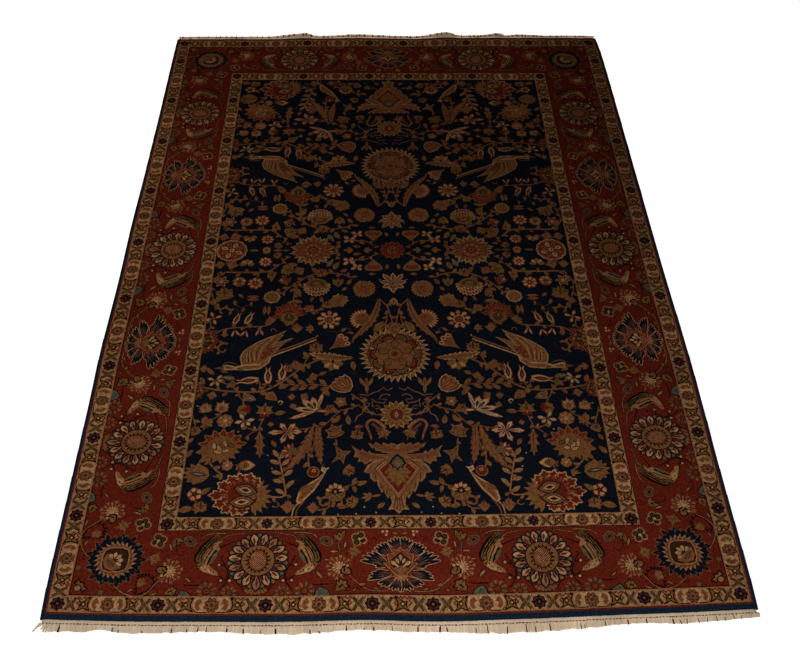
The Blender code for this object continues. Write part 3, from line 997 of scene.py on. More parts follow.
def parrot_tulip(pen):
    """A pale ribbon petal that arches over a dark throat, above camel leaves."""
    leaves = pen.at(-44, 34)
    spiky(leaves, CAMEL, ((-70, 24), (-20, 34), (20, 26), (58, 38), (80, 28), (112, 40), (142, 26),
                          (180, 32)), 20)
    leaves.petal(UMBER, 112, 4, 30, 5)
    arch = smooth([(-52, 14), (-24, -16), (5, -26), (22, -2), (10, 34), (2, 70)], 8.0)
    for dye, width in ((RED, 18), (BUFF, 11.5)):
        pen.stroke(dye, arch[:-1] if dye == BUFF else arch, width, 0.55)
    pen.stroke(UMBER, [z * 0.96 for z in arch[2:-3]], 2.6)
    throat = smooth([(-34, 28), (-16, 6), (2, -8)], 8.0)
    for dye, width in ((NAVY, 17), (ROSE, 10), (NAVY, 3)):
        pen.stroke(dye, throat, width)


def camel_flower(pen):
    spiky(pen, GOLD, ((0, 30), (40, 22), (72, 30), (120, 24), (150, 30), (200, 22), (230, 30), (270, 24),
                      (310, 29)), 20)
    pen.paint(CAMEL, wavy(18, 5, 0.12))
    pen.paint(SHEEN_IVORY, circle(6, 7))


def dark_maple(pen):
    """A large seven-lobed leaf with a dark line inside its rim."""
    tips = ((0, 46), (30, 30), (56, 44), (84, 28), (110, 42), (180, 26), (-112, 40), (-86, 28), (-58, 46),
            (-28, 30))
    for dye, share in ((CAMEL, 1.0), (NAVY, 0.74), (GOLD, 0.64)):
        spiky(pen, dye, [(angle, reach * share) for angle, reach in tips], 29 * share)
    pen.paint(ROSE, lens(-12, 26, 11))
    for angle in (-58, 56):
        pen.petal(UMBER, angle, 4, 26, 5)


def swallow_leaf(pen):
    """A four-pointed leaf with a dull green heart."""
    for dye, share in ((CAMEL, 1.0), (OLIVE, 0.60), (CAMEL, 0.46)):
        spiky(pen, dye, [(a, r * share) for a, r in ((46, 52), (104, 44), (202, 44), (299, 50))],
              19 * share)
    pen.petal(OLIVE, 46, -10, 34, 4)
    pen.petal(OLIVE, -61, 0, 38, 4)


def hand_leaf(pen):
    """Slender fingers that spread from one root."""
    for angle, reach in ((0, 42), (-30, 38), (30, 36), (180, 34), (-64, 24)):
        pen.petal(CAMEL, angle, -3, reach, 11, 0.9)
    pen.paint(SAGE, lens(2, 30, 4))


def curled_leaf(pen):
    """A leaf bent into a hook with lobes on its back."""
    line = smooth([(-22, 16), (-26, -6), (-6, -22), (16, -16), (20, 4), (6, 10)], 7.0)
    pen.stroke(CAMEL, line, 12, 0.45)
    for x, y, angle in ((-22, -10, 200), (0, -22, 250), (18, -12, 320)):
        leaf(pen.at(x, y, angle), 20, 12, 0, CAMEL)
    pen.stroke(ROSE, line, 3, 0.5)


def gold_fan(pen):
    """Five gold and cream petals above a dark notch, open along +x."""
    for k in range(5):
        angle = -84 + 42 * k
        pen.petal(CAMEL, angle, -4, 36, 24, 0.7)
        pen.petal(CREAM if k % 2 else GOLD, angle, 4, 32, 16, 0.7)
    pen.paint(BROWN, lens(-14, 6, 9))


def dome_flower(pen):
    """A dome of rose and cream lumps with an olive eye, open along +x."""
    pen.paint(ROSE, wavy(30, 9, 0.08))
    for k in range(6):
        pen.petal(CREAM if k % 2 else BUFF, -125 + 50 * k, 8, 29, 13, 0.75, 4)
    pen.paint(OLIVE, wavy(11, 5, 0.12))
    pen.petal(CAMEL, 180, 4, 28, 15)


def red_tulip(pen):
    """Three red petals with pale tips that open along +x."""
    for angle, reach in ((-42, 46), (40, 48), (-14, 44), (16, 50)):
        pen.petal(CAMEL, angle, -10, reach, 16, 0.8)
        pen.petal(CORAL if angle > 0 else RED, angle, -6, reach - 8, 12, 0.8)
    pen.petal(CREAM, 26, 20, 44, 7)


def camel_bell(pen):
    """A drooping bell with two ears, open along +x."""
    pen.paint(CAMEL, [-36 - 22j, -22 - 6j, -26 + 20j, -10 + 18j, 14 + 12j, 40 + 4j, 20 - 6j, 12 - 20j,
                      -12 - 20j])
    pen.paint(GOLD, [-24 - 12j, -18 + 8j, 10 + 6j, 24 + 2j, 8 - 10j])
    pen.paint(NAVY, lens(-16, 2, 9))


def butterfly(pen):
    """Four plump pale petals in two pairs."""
    for angle, reach in ((-40, 30), (-140, 27), (36, 34), (144, 30)):
        pen.petal(CORAL, angle, -2, reach + 3, 23, 0.7)
        pen.petal(SHEEN_IVORY if angle < 0 else CREAM, angle, 2, reach, 17, 0.7)
    pen.paint(ROSE, circle(6, 7))


STAR_PETALS = ((178, 58), (232, 47), (305, 48), (4, 74), (70, 57), (128, 45))


def big_star(pen):
    """Six uneven narrow petals, each with a red stroke along it."""
    for angle, reach in STAR_PETALS:
        pen.paint(CORAL, turned(blade(reach + 3, 22, 0, 3, 0.2, 0.75), angle))
    for angle, reach in STAR_PETALS:
        pen.paint(SHEEN_IVORY, turned(blade(reach - 1, 17, 0, 3, 0.2, 0.75), angle))
        pen.petal(RED, angle, 2, reach * 0.72, 7, 0.9)


def red_bud(pen):
    pen.paint(CAMEL, circle(19))
    pen.paint(RED, circle(15))
    pen.paint(CREAM, [z + 5 for z in circle(6)])
    pen.paint(BROWN, circle_at(5, 3, 6))


def fork(pen):
    for angle, length in ((-26, 50), (0, 44), (26, 50)):
        pen.at(0, 0, angle).paint(CAMEL, blade(length, 13, -angle, 0))
    pen.paint(OLIVE, lens(0, 34, 6))
    pen.paint(CAMEL, lens(-30, 10, 14))


def lips(pen):
    for side in (-1, 1):
        pen.at(0, side * 8).paint(CAMEL, lens(-26, 26, 15, 1.0))
        pen.at(0, side * 8).paint(ROSE, lens(-14, 14, 5, 1.0))


def long_feather(pen):
    pen.paint(CREAM, blade(200, 38, -26, 9, 0.34, 0.9))
    pen.paint(CAMEL, blade(194, 27, -26, 9, 0.3, 0.9))
    pen.stroke(BROWN, line_of(170, -22, 8), 3, 0.6)


def straight_feather(pen):
    pen.paint(ROSE, blade(176, 30, 12, 8, 0.34, 1.0))
    pen.paint(CAMEL, blade(170, 20, 12, 8, 0.3, 1.0))
    pen.stroke(BROWN, line_of(150, 10, 8), 2.4, 0.6)


def camel_feather(pen):
    pen.paint(ROSE, blade(178, 30, -34, 8, 0.34, 1.0))
    pen.paint(CAMEL, blade(172, 20, -34, 8, 0.3, 1.0))
    pen.stroke(GOLD, line_of(150, -28, 8), 2.4, 0.6)


def tendril(pen):
    curl(pen, 12, OLIVE, 1.8, 320)
    pen.stroke(OLIVE, [10 + 0j, 22 - 6j, 34 - 2j], 1.8)


def spindle(pen):
    pen.paint(GOLD, lens(-22, 22, 16, 1.0))
    pen.paint(OLIVE, lens(-12, 12, 6, 1.0))


def fleur(pen):
    for angle, length in ((-40, 24), (40, 24), (0, 34)):
        pen.petal(CAMEL, angle, -4, length, 12)


QUARTER = (
    # about the middle
    m(bell, 88, 94, 90, 1.1), m(camel_leaf, 24, 104, 80, 0.8), m(butterfly, 200, 71, 8),
    m(butterfly, 163, 110, -10, 0.9), m(gold_leaf, 254, 96, 64, 1.3), m(sage_leaf, 284, 78, 62, 1.25),
    m(camel_leaf, 218, 131, 28, 0.9), m(camel_leaf, 90, 156, 0, 0.8), m(camel_leaf, 138, 50, 40, 0.9),
    m(fleur, 186, 2, 0, 1.2), m(fleur, 130, -2, 180, 1.1), m(red_rosette, 582, 4, 0, 0.62),
    m(camel_leaf, 160, 26, 10, 0.9), m(spindle, 640, 0), m(spindle, 530, 0), m(spindle, 492, 0, 0, 0.7),
    m(spindle, 686, 2, 30, 0.8), m(red_rosette, 583, 74, 0, 0.95), m(gold_fan, 666, 92, -90),
    m(camel_sprig, 733, 94, -110, 1.4), m(camel_sprig, 788, 94, -80, 1.2), m(camel_leaf, 463, 89, 170, 1.1),
    m(camel_maple, 528, 34, -30, 0.9), m(gold_maple, 483, 124, 160, 1.5), m(camel_leaf, 250, 30, -60, 0.9),
    m(rose_leaf, 506, 62, -70, 0.6),
    # lotus, peony and vine
    m(peony, 133, 244, 70, 1.05), m(gold_tulip, 248, 234, -90, 1.35), m(oak_bloom, 244, 318, -148),
    m(fan_palmette, 343, 232, 88), m(camel_maple, 322, 150, -70, 1.25), m(camel_leaf, 352, 130, -30, 0.9),
    m(camel_leaf, 193, 199, 60), m(camel_leaf, 170, 172, 10, 0.8), m(camel_sprig, 424, 134, -60, 1.3),
    m(camel_leaf, 215, 244, 50, 0.8), m(camel_leaf, 318, 306, 100, 0.8), m(rose_leaf, 358, 304, 70, 0.8),
    m(red_tulip, 478, 214, -70), m(camel_bell, 548, 164, 84), m(camel_maple, 366, 176, 30, 0.8),
    m(red_rosette, 618, 209, 10, 1.12), m(dome_flower, 691, 199, -90), m(star_flower, 771, 197),
    m(ripe_pomegranate, 538, 294, 60), m(lips, 621, 299, 0, 1.1), m(camel_leaf, 673, 289, -40, 0.8),
    m(gold_maple, 748, 279, -80, 1.8), m(camel_sprig, 793, 324, -70, 0.9), m(gold_leaf, 423, 274, -64, 1.4),
    m(gold_leaf, 418, 324, -10, 1.1), m(camel_maple, 293, 344, -100, 1.1),
    m(camel_sprig, 368, 364, -40, 1.2), m(flame_palmette, 458, 396, -84), m(whorl, 283, 429, 20),
    m(lips, 556, 372, 90, 1.1), m(flame_bud, 640, 444, -112, 0.85), m(flame_bud, 690, 446, -108, 0.8),
    m(four_petals, 783, 416, 20, 1.15), m(tendril, 654, 378), m(tendril, 690, 366),
    m(curled_leaf, 738, 379), m(camel_leaf, 778, 354, -100), m(camel_sprig, 533, 429, 10, 1.1),
    m(gold_leaf, 60, 462, 56, 1.7), m(camel_tulip, 345, 488, -30), m(camel_sprig, 418, 478, -90, 1.2),
    m(tendril, 236, 500, 0, 1.3), m(drops, 580, 478, 96), m(drops, 637, 486, 82), m(drops, 686, 482, 104),
    m(hook, 522, 488, 160), m(camel_sprig, 725, 509, 90, 0.7), m(curled_leaf, 723, 584, 90),
    m(tendril, 686, 570, 90, 0.8),
    # the bird and the round palmette
    m(trumpet, 238, 564, -142), m(camel_maple, 333, 589, -90, 1.35), m(gold_leaf, 373, 630, -60),
    m(camel_sprig, 414, 680, -80, 1.2), m(camel_leaf, 176, 690, -80, 1.2), m(fleur, 806, 694, 180, 1.2),
    m(gold_fan, 260, 664, 80, 1.3), m(tendril, 168, 720, 0, 0.7), m(tendril, 270, 716, 120, 0.8),
    m(flame_bud, 470, 750, -94), m(flame_bud, 523, 766, -86), m(flame_bud, 570, 752, 8, 1.1),
    m(sage_leaf, 692, 742, 170, 1.2), m(cream_star, 738, 756, 40, 0.9), m(camel_leaf, 760, 716, -40),
    m(pomegranate, 216, 783, -46), m(fork, 119, 796, -88, 1.15), m(camel_leaf, 704, 712, -20, 0.8),
    m(camel_sprig, 744, 830, 80), m(camel_maple, 444, 700, -100, 0.9), m(camel_leaf, 386, 700, -60, 1.1),
    m(camel_leaf, 296, 722, 30, 0.9), m(camel_sprig, 340, 740, 200), m(camel_leaf, 410, 742, -50, 0.9),
    m(camel_leaf, 640, 700, -20, 0.8), m(gold_sprig, 668, 776, -90, 0.9), m(camel_leaf, 790, 762, -60),
    # lily, star and hanging leaves
    m(lily, 319, 913), m(big_star, 432, 1011), m(camel_sprig, 423, 843, -90, 0.8),
    m(camel_sprig, 414, 890, -70, 0.75), m(camel_sprig, 497, 976, 0, 0.6),
    m(camel_sprig, 372, 842, -120, 0.9), m(camel_flower, 223, 869), m(striped_bud, 478, 862, -38),
    m(sage_bud, 592, 846, -22), m(crown_flower, 698, 893, -96), m(rose_maple, 763, 899, -80),
    m(maple_flower, 526, 911, -90), m(gold_red_flower, 609, 905), m(camel_leaf, 458, 922, 10, 1.1),
    m(cream_star, 603, 958), m(lumpy_flower, 680, 958), m(camel_tulip, 757, 982, -96, 1.1),
    m(camel_maple, 790, 1008, -60), m(gold_leaf, 191, 953, 100, 1.1), m(gold_leaf, 231, 948, 66),
    m(camel_maple, 264, 906, -60), m(parrot_tulip, 97, 985), m(camel_maple, 157, 1032, -100, 1.15),
    m(rose_leaf, 146, 992, 10, 0.9), m(dark_maple, 244, 1016, -70), m(swallow_leaf, 218, 1121),
    m(camel_leaf, 281, 827, -50, 1.1), m(camel_leaf, 479, 1073, -60, 0.9), m(coral_fan, 411, 1103),
    m(red_bud, 322, 1198, -110, 1.3), m(camel_maple, 189, 1190, 150, 1.1), m(rose_leaf, 200, 1202, 40, 0.5),
    m(camel_sprig, 300, 1060, 100, 0.5),
    # corner
    m(small_bird, 330, 1264), m(half_rosette, 236, 1287), m(gold_leaf, 131, 1248, 24),
    m(camel_leaf, 162, 1237, 70, 0.9), m(camel_leaf, 164, 1279, -70, 0.8), m(hand_leaf, 99, 1306, 10),
    m(camel_maple, 170, 1330, -30, 1.1), m(curled_leaf, 270, 1332, 0, 1.1),
    m(camel_leaf, 60, 1343, 40, 0.9), m(camel_sprig, 318, 1353, -90, 1.1),
    m(camel_sprig, 411, 1348, -90, 1.3), m(hook, 454, 1334, 30, 1.1), m(camel_leaf, 204, 1350, 0, 0.9),
    m(crown_palmette, 680, 1082), m(corner_palmette, 580, 1294), m(round_bud, 577, 1165, 180),
    m(lumpy_flower, 651, 1165, 0, 0.7), m(blue_leaf, 712, 1208, -8), m(five_petals, 760, 1289),
    m(gold_leaf, 716, 1274, 40, 1.1), m(camel_leaf, 798, 1106, 50, 1.1),
    m(camel_maple, 732, 1348, -90, 1.1), m(gold_leaf, 778, 1354, 14, 1.4), m(holly_leaf, 541, 1003, 95),
    m(camel_sprig, 802, 1176, 0, 0.1), m(camel_leaf, 800, 1046, 60, 0.8),
)


AXIS = (
    m(lotus, 0, 214), m(bud_axis, 0, 304, 90, 1.1), m(round_palmette, 0, 622), m(sunflower, 0, 934),
    m(shield_palmette, 0, 1212),
)

CROSS_AXIS = (m(side_palmette, 368, 0), m(side_medallion, 742, 0))

Vine = namedtuple("Vine", "width dye points")

VINES = (
    Vine(5, CAMEL, ((188, 178), (226, 156), (286, 146), (338, 148), (402, 180), (434, 240), (442, 320),
                    (434, 356))),
    Vine(4, CAMEL, ((402, 180), (446, 214), (486, 262))),
    Vine(4, CAMEL, ((436, 334), (400, 366), (340, 376), (306, 366))),
    Vine(4, CAMEL, ((66, 304), (29, 354), (16, 407), (-2, 490))),
    Vine(3, CAMEL, ((29, 400), (34, 440), (60, 480), (84, 506))),
    Vine(7, CAMEL, ((518, 90), (562, 134), (608, 140), (680, 141), (758, 139))),
    Vine(4, CAMEL, ((604, 140), (612, 172))),
    Vine(3.5, CAMEL, ((758, 139), (806, 180), (814, 232), (800, 286), (790, 320))),
    Vine(4, CAMEL, ((530, 448), (552, 460), (600, 466), (668, 470), (734, 480), (764, 506))),
    Vine(6, CAMEL, ((300, 640), (386, 690), (466, 766), (530, 806), (586, 816), (706, 808), (786, 790))),
    Vine(5, ROSE, ((154, 886), (186, 902), (222, 912), (258, 920), (300, 914))),
    Vine(4, ROSE, ((222, 912), (248, 938), (280, 976), (306, 996))),
    Vine(4, CAMEL, ((181, 830), (150, 856), (128, 880), (110, 920))),
    Vine(4, CAMEL, ((338, 1064), (344, 1120), (338, 1178))),
    Vine(3, GOLD, ((818, 904), (804, 950), (792, 984))),
    Vine(5.5, CAMEL, ((724, 1134), (716, 1156), (690, 1186), (664, 1206))),
    Vine(4.5, CAMEL, ((482, 1304), (426, 1300), (430, 1242), (444, 1180), (458, 1124))),
    Vine(4, CAMEL, ((212, 1320), (206, 1350), (172, 1344))),
    Vine(4, CAMEL, ((256, 1320), (262, 1352), (300, 1362))),
    Vine(3, OLIVE, ((618, 352), (640, 340), (664, 356), (690, 344))),
    Vine(3, OLIVE, ((206, 508), (190, 490), (206, 476), (226, 486))),
)

STEMS = (
    Vine(3, CAMEL, ((60, 20), (90, 36), (134, 66), (170, 60))),
    Vine(3, CAMEL, ((256, -10), (254, 30), (262, 60))),
    Vine(3, CAMEL, ((470, 40), (496, 60), (508, 90))),
    Vine(3, CAMEL, ((486, 262), (500, 274), (510, 280))),
    Vine(3, CAMEL, ((330, 390), (352, 372), (386, 366))),
    Vine(3, CAMEL, ((410, 470), (440, 456), (470, 440))),
    Vine(3, CAMEL, ((330, 560), (342, 600), (366, 640), (384, 684))),
    Vine(3, CAMEL, ((524, 768), (536, 790), (548, 808))),
    Vine(3, CAMEL, ((470, 750), (476, 764), (490, 780))),
    Vine(3, CAMEL, ((570, 752), (556, 770), (556, 806))),
    Vine(3, CAMEL, ((640, 812), (664, 790), (700, 770), (740, 760))),
    Vine(3, CAMEL, ((640, 812), (632, 840), (618, 860), (612, 880))),
    Vine(3, CAMEL, ((698, 920), (716, 940), (744, 960), (760, 1000))),
    Vine(3, CAMEL, ((762, 930), (750, 960), (744, 990))),
    Vine(3.5, CAMEL, ((526, 940), (538, 976), (546, 1002))),
    Vine(3, ROSE, ((546, 1000), (570, 1016), (596, 1040))),
    Vine(3, CAMEL, ((546, 1000), (580, 996), (604, 980))),
    Vine(4, ROSE, ((306, 984), (350, 996), (392, 1004))),
    Vine(3, CAMEL, ((240, 1050), (234, 1070), (238, 1084))),
    Vine(3, CAMEL, ((148, 1240), (170, 1254), (196, 1262), (214, 1268))),
    Vine(3, CAMEL, ((300, 1010), (320, 1060), (332, 1110))),
    Vine(3, CAMEL, ((426, 1300), (410, 1296), (400, 1304))),
    Vine(3, CAMEL, ((664, 1206), (680, 1216), (700, 1212))),
    Vine(3, CAMEL, ((756, 1316), (744, 1334), (732, 1348), (760, 1356))),
    Vine(3, CAMEL, ((620, 1160), (600, 1180), (610, 1204))),
    Vine(3, CAMEL, ((800, 420), (790, 460), (800, 500))),
    Vine(3, CAMEL, ((480, 160), (500, 186), (490, 208))),
    Vine(3, CAMEL, ((640, 1220), (600, 1230), (590, 1250))),
)

# thin tendrils that turn sharply
ZIGZAGS = (
    (12, 800, 36, 813, 49, 798, 70, 816, 92, 824, 112, 838, 149, 832),
    (23, 838, 41, 831, 60, 838, 68, 856, 39, 859, 49, 877, 81, 871, 99, 856),
    (94, 866, 97, 895, 78, 888, 57, 906, 84, 904),
    (54, 932, 81, 934, 96, 920, 112, 924, 133, 914, 138, 930, 156, 940, 166, 968),
    (102, 927, 118, 900, 106, 878, 128, 872, 124, 852, 146, 846),
    (128, 886, 142, 900, 150, 884, 168, 892, 178, 906),
)

DOTS = ((128, 1351), (84, 1374), (158, 1379), (224, 1381), (36, 176), (60, 190), (150, 200), (340, 80),
        (420, 60), (800, 40), (792, 150), (330, 520), (360, 500), (796, 884), (560, 992), (622, 1010),
        (480, 1180), (500, 1120), (240, 1250), (30, 720), (70, 740))


BRANCH = ((482, 1304), (426, 1300), (430, 1242), (444, 1180), (458, 1124))
BRANCH_LEAVES = ((0.3, 70), (0.4, -60), (0.5, 64), (0.62, -64), (0.66, 58), (0.8, -58), (0.84, 52),
                 (0.95, -40), (0.96, 20))
FERN = ((262, 792), (330, 780), (400, 782), (470, 776))
FERN_LEAVES = ((0.04, 30), (0.12, -34), (0.26, 34), (0.34, -36), (0.46, 32), (0.54, -34), (0.66, 34),
               (0.74, -32), (0.86, 30))


def put(pen, motifs):
    """Draws rows of a table of motifs."""
    for motif in motifs:
        motif.draw(pen.at(motif.x, motif.y, motif.turn, motif.size))


def field_quarter(pen):
    for width, dye, points in VINES:
        garland(pen, points, width, dye)
    for width, dye, points in STEMS:
        garland(pen, points, width, dye, 24, 34)
    for line in ZIGZAGS:
        pen.stroke(CAMEL, [complex(x, y) for x, y in zip(line[::2], line[1::2])], 4.4)
    saz_leaf(pen)
    twig(pen, BRANCH, BRANCH_LEAVES, 46, BUFF, 4, ROSE)
    twig(pen, FERN, FERN_LEAVES, 50, CAMEL, 4, UMBER)
    long_feather(pen.at(166, 640, -8))
    straight_feather(pen.at(312, 974, 96, 1.1))
    camel_feather(pen.at(330, 984, 64, 1.3))
    half_palmette(pen.at(824, 544, 180, 1.1))
    half_palmette(pen.at(824, 808, 180, 0.7))
    long_bird(pen.at(407, 657))
    put(pen, QUARTER)
    dots(pen, DOTS)


# Dye swaps by quarter stand for light on the pale wool: deeper cream in the far half is painted shade, and
# the whiter ivory kept near right is a painted sheen highlight.
Quarter = namedtuple("Quarter", "turn mirrored axis pale_wool")
NEAR_RIGHT = Quarter(1 + 0j, False, True, {})
NEAR_LEFT = Quarter(-1 + 0j, True, False, {SHEEN_IVORY: CREAM})
FAR_RIGHT = Quarter(1 + 0j, True, True, {SHEEN_IVORY: DEEP_CREAM, CREAM: DEEP_CREAM})
FAR_LEFT = Quarter(-1 + 0j, False, False, {SHEEN_IVORY: DEEP_CREAM, CREAM: DEEP_CREAM})


def field(art):
    """The whole field: a quarter in four mirrored copies, and what lies on the two axes.

    Each quarter swaps its pale wool: the deeper cream in the far half is painted shade of the dimmer far
    end, and the whiter ivory kept only near right is a painted sheen highlight.
    """
    for quarter in (NEAR_RIGHT, NEAR_LEFT, FAR_RIGHT, FAR_LEFT):
        drawn = []
        pen = Pen(drawn, quarter.turn, 0j, quarter.mirrored)
        field_quarter(pen)
        if quarter.axis:
            put(pen, AXIS)
        art += [(quarter.pale_wool.get(dye, dye), outline) for dye, outline in drawn]
    for quarter in (NEAR_RIGHT, NEAR_LEFT):
        put(Pen(art, quarter.turn, 0j, quarter.mirrored), CROSS_AXIS)
    centre_flower(Pen(art))


# ------------------------------------------------------------------ main border
def both_sides_of(pen):
    """The pen and its image in the unit's upright middle line."""
    return pen, Pen(pen.art, -pen.turn, pen.middle, not pen.mirrored)


def both(pen, draw, x, y, turn=0.0, size=1.0):
    """The same motif on the two sides of the unit's middle line."""
    for side in both_sides_of(pen):
        draw(side.at(x, y, turn, size))


def border_rosette(pen):
    """A round flower: broad outlined petals before a rim of gold ones, a gold ring and a striped heart."""
    count = 15
    step = 360 / count
    for k in range(count):
        pen.paint(NAVY, turned(lens(66, 113, 36, 0.65, 5), 270 + step * (k + 0.5)))
    for k in range(count):
        spoke = 270 + step * (k + 0.5)
        pen.petal(SAGE if k % 5 == 2 else GOLD, spoke, 70, 108, 27, 0.65, 5)
        for lean in (-5.5, 5.5):
            pen.petal(NAVY, spoke + lean, 84, 108, 5, 1.0, 3)
    for k in range(count):
        reach = 122 if k == 0 else 112
        pen.petal(NAVY, 270 + step * k, 48, reach, 38, 0.7, 5)
    for k in range(count):
        spoke = 270 + step * k
        reach = 115 if k == 0 else 105
        pen.petal(CREAM if k % 3 else BUFF, spoke, 57, reach, 25, 0.7, 5)
        pen.petal(RED, spoke + 1.4, 64, reach - 10, 9.5, 0.9, 4)
        pen.petal(NAVY, spoke - 5.2, 60, 84, 3.6, 1.0, 3)
        if k % 2:
            pen.petal(NAVY, spoke + 6.4, 70, 96, 3.4, 1.0, 3)
    pen.paint(NAVY, star(20, 61, 65, 0.5))
    pen.paint(GOLD, circle(58))
    pen.paint(BROWN, [complex(z.real * 0.90, z.imag) for z in star(18, 37, 52)])
    pen.paint(GOLD, [complex(z.real * 0.88, z.imag) for z in star(18, 36, 44, 0.5)])
    pen.paint(BROWN, [complex(z.real * 0.80, z.imag) for z in wavy(43, 10, 0.06)])
    pen.paint(CORAL, [complex(z.real * 0.78, z.imag) for z in wavy(40, 10, 0.06)])
    for k in range(-5, 6):
        reach = math.sqrt(max(0, 36**2 - (6.6 * k) ** 2)) * 0.92
        for shift, dye, width in ((0, CREAM, 2.0), (3.3, NAVY if k % 2 else BROWN, 2.2)):
            middle = (6.6 * k + shift) * polar(1, 130)
            line = [middle - reach * 0.9 * polar(1, 40), middle + reach * 0.9 * polar(1, 40)]
            pen.paint(dye, [complex(z.real * 0.8, z.imag) for z in ribbon(line, width)[0]])


def border_bird(pen):
    """A bird beside the rosette: head down and inwards, feathered back, long arched tail plumes."""
    back = [220 + 126j, 225 + 132j, 227 + 156j, 219 + 170j, 208 + 192j, 192 + 212j, 170 + 229j, 136 + 243j,
            150 + 214j, 176 + 190j, 196 + 156j, 204 + 122j]
    pen.paint(BROWN, back)
    for k in range(12):
        share = k / 11
        root = complex(200 - 58 * share, 130 + 92 * share - 10 * math.sin(math.pi * share))
        spread = 0.62 + 0.42 * math.sin(math.pi * share)
        for row in range(4):
            spot = root + polar((4 + 9 * row) * spread, 16 + 44 * share)
            dye = (GOLD, CAMEL, SAGE, OLIVE)[(k + row) % 4]
            pen.paint(dye, turned(lens(-9, 9, 3.8), 96 + 32 * share, spot))
    for width, dye in ((8.5, BROWN), (3.6, BUFF)):
        for plume in (((140, 212), (122, 230), (96, 237), (58, 244)),
                      ((124, 243), (160, 243), (192, 236), (208, 222))):
            pen.stroke(dye, smooth(plume), width, 0.2)
    for k, (x, y) in enumerate(smooth_pairs(((132, 224), (96, 238), (62, 243)), 9)):
        pen.paint(BROWN, turned(lens(-4, 4, 3), 60, complex(x, y)))
    pen.stroke(BROWN, smooth([(140, 186), (118, 196), (88, 210)]), 6, 0.5)
    body = [134 + 77j, 150 + 78j, 168 + 84j, 188 + 90j, 203 + 103j, 212 + 112j, 211 + 120j, 198 + 128j,
            196 + 154j, 182 + 180j, 166 + 196j, 152 + 208j, 130 + 216j, 132 + 209j, 146 + 198j, 138 + 181j,
            145 + 166j, 168 + 128j, 172 + 118j, 158 + 104j, 140 + 92j]
    middle = sum(body) / len(body)
    pen.paint(BROWN, [z + (z - middle) / abs(z - middle) * 3.4 for z in body])
    pen.paint(BUFF, body)
    pen.paint(CREAM, [150 + 84j, 170 + 89j, 190 + 96j, 200 + 108j, 190 + 116j, 180 + 112j, 168 + 100j])
    for line in ((204 + 108j, 197 + 124j, 192 + 150j, 176 + 180j, 160 + 198j),
                 (190 + 124j, 180 + 152j, 164 + 184j)):
        pen.stroke(BROWN, smooth(line, 14.0), 4.2)
    for line in ((198 + 124j, 190 + 152j, 172 + 184j), (200 + 100j, 208 + 114j)):
        pen.stroke(GOLD, smooth(line, 14.0), 3.2)
    pen.paint(BROWN, [154 + 178j, 146 + 174j, 168 + 132j, 176 + 116j, 180 + 122j, 174 + 142j])
    pen.paint(SAGE, [143 + 170j, 147 + 150j, 166 + 122j, 170 + 122j, 168 + 136j, 160 + 158j, 150 + 168j])
    pen.paint(BROWN, turned(lens(-12, 10, 10), 38, 158 + 94j))
    pen.paint(CREAM, turned(lens(-7, 6, 4.6), 38, 158 + 94j))
    for spot, angle in ((206 + 116j, -40), (190 + 112j, 60), (180 + 100j, 40)):
        pen.paint(BROWN, turned(lens(-9, 9, 3.6), angle, spot))


def smooth_pairs(points, step):
    return [(z.real, z.imag) for z in smooth(points, step)]


def cloud(pen, r=32):
    """A ragged flower of dull leaves about a red heart, half of it cut off by the border's edge."""
    for k in range(9):
        pen.petal(SAGE if k % 3 else CAMEL, 40 * k, r * 0.4, r * 1.12, r * 0.42, 0.7, 4)
    for k in range(9):
        pen.petal(OLIVE, 40 * k + 9, r * 0.45, r * 0.95, r * 0.10, 1.0, 3)
        pen.petal(RED, 40 * k + 20, r * 0.60, r * 1.06, r * 0.15, 1.0, 3)
    pen.paint(BROWN, wavy(r * 0.46, 9, 0.1))
    pen.paint(RED, wavy(r * 0.40, 9, 0.1))
    pen.paint(CAMEL, star(5, r * 0.12, r * 0.28, 0.3))
    pen.paint(BROWN, circle(r * 0.10, 6))


def berry(pen):
    pen.paint(BROWN, circle(9, 9))
    pen.paint(CREAM, circle(5.5, 8))


def sage_ring(pen):
    for r, dye in ((25, SAGE), (19, RED), (13, SAGE), (9, MADDER)):
        pen.paint(dye, circle(r, 16, 0.7))
    pen.paint(BROWN, lens(-8, 8, 4, 1.0))


def grey_patch(pen):
    pen.paint(BROWN, [-28 - 16j, -24 + 2j, -8 + 12j, 10 + 20j, 22 + 6j, 28 - 16j])
    pen.paint(SAGE, [-24 - 16j, -20 + 1j, -7 + 9j, 9 + 16j, 18 + 5j, 23 - 16j])
    pen.paint(BLUE, [-16 - 16j, -8 + 2j, 8 + 8j, 14 - 6j, 12 - 16j])


def pale_leaf(pen):
    pen.paint(BROWN, lens(-20, 20, 15, 0.9))
    pen.paint(BUFF, lens(-16, 16, 8.5, 0.9))


def border_rosette_unit(pen):
    both(pen, fan_pair_half, 0, 8, 0, 1.15)
    border_rosette(pen.at(0, 135))
    both(pen, border_bird, 0, 0)
    both(pen, cloud, 170, 18, 0, 1.0)
    both(pen, set_form(cloud, 25), 92, 12)
    for points in (((132, 76), (116, 66), (104, 58), (112, 40), (128, 22)),
                   ((104, 62), (100, 84), (112, 112), (128, 140), (134, 148), (124, 154)),
                   ((104, 58), (96, 66), (98, 78)), ((64, 46), (50, 34), (38, 12)),
                   ((196, 42), (222, 40), (250, 42)), ((112, 112), (126, 118), (136, 122))):
        for side in both_sides_of(pen):
            vine(side, points, 4.6, BROWN)
    for x, y in ((135, 118), (124, 58), (93, 58)):
        both(pen, berry, x, y)


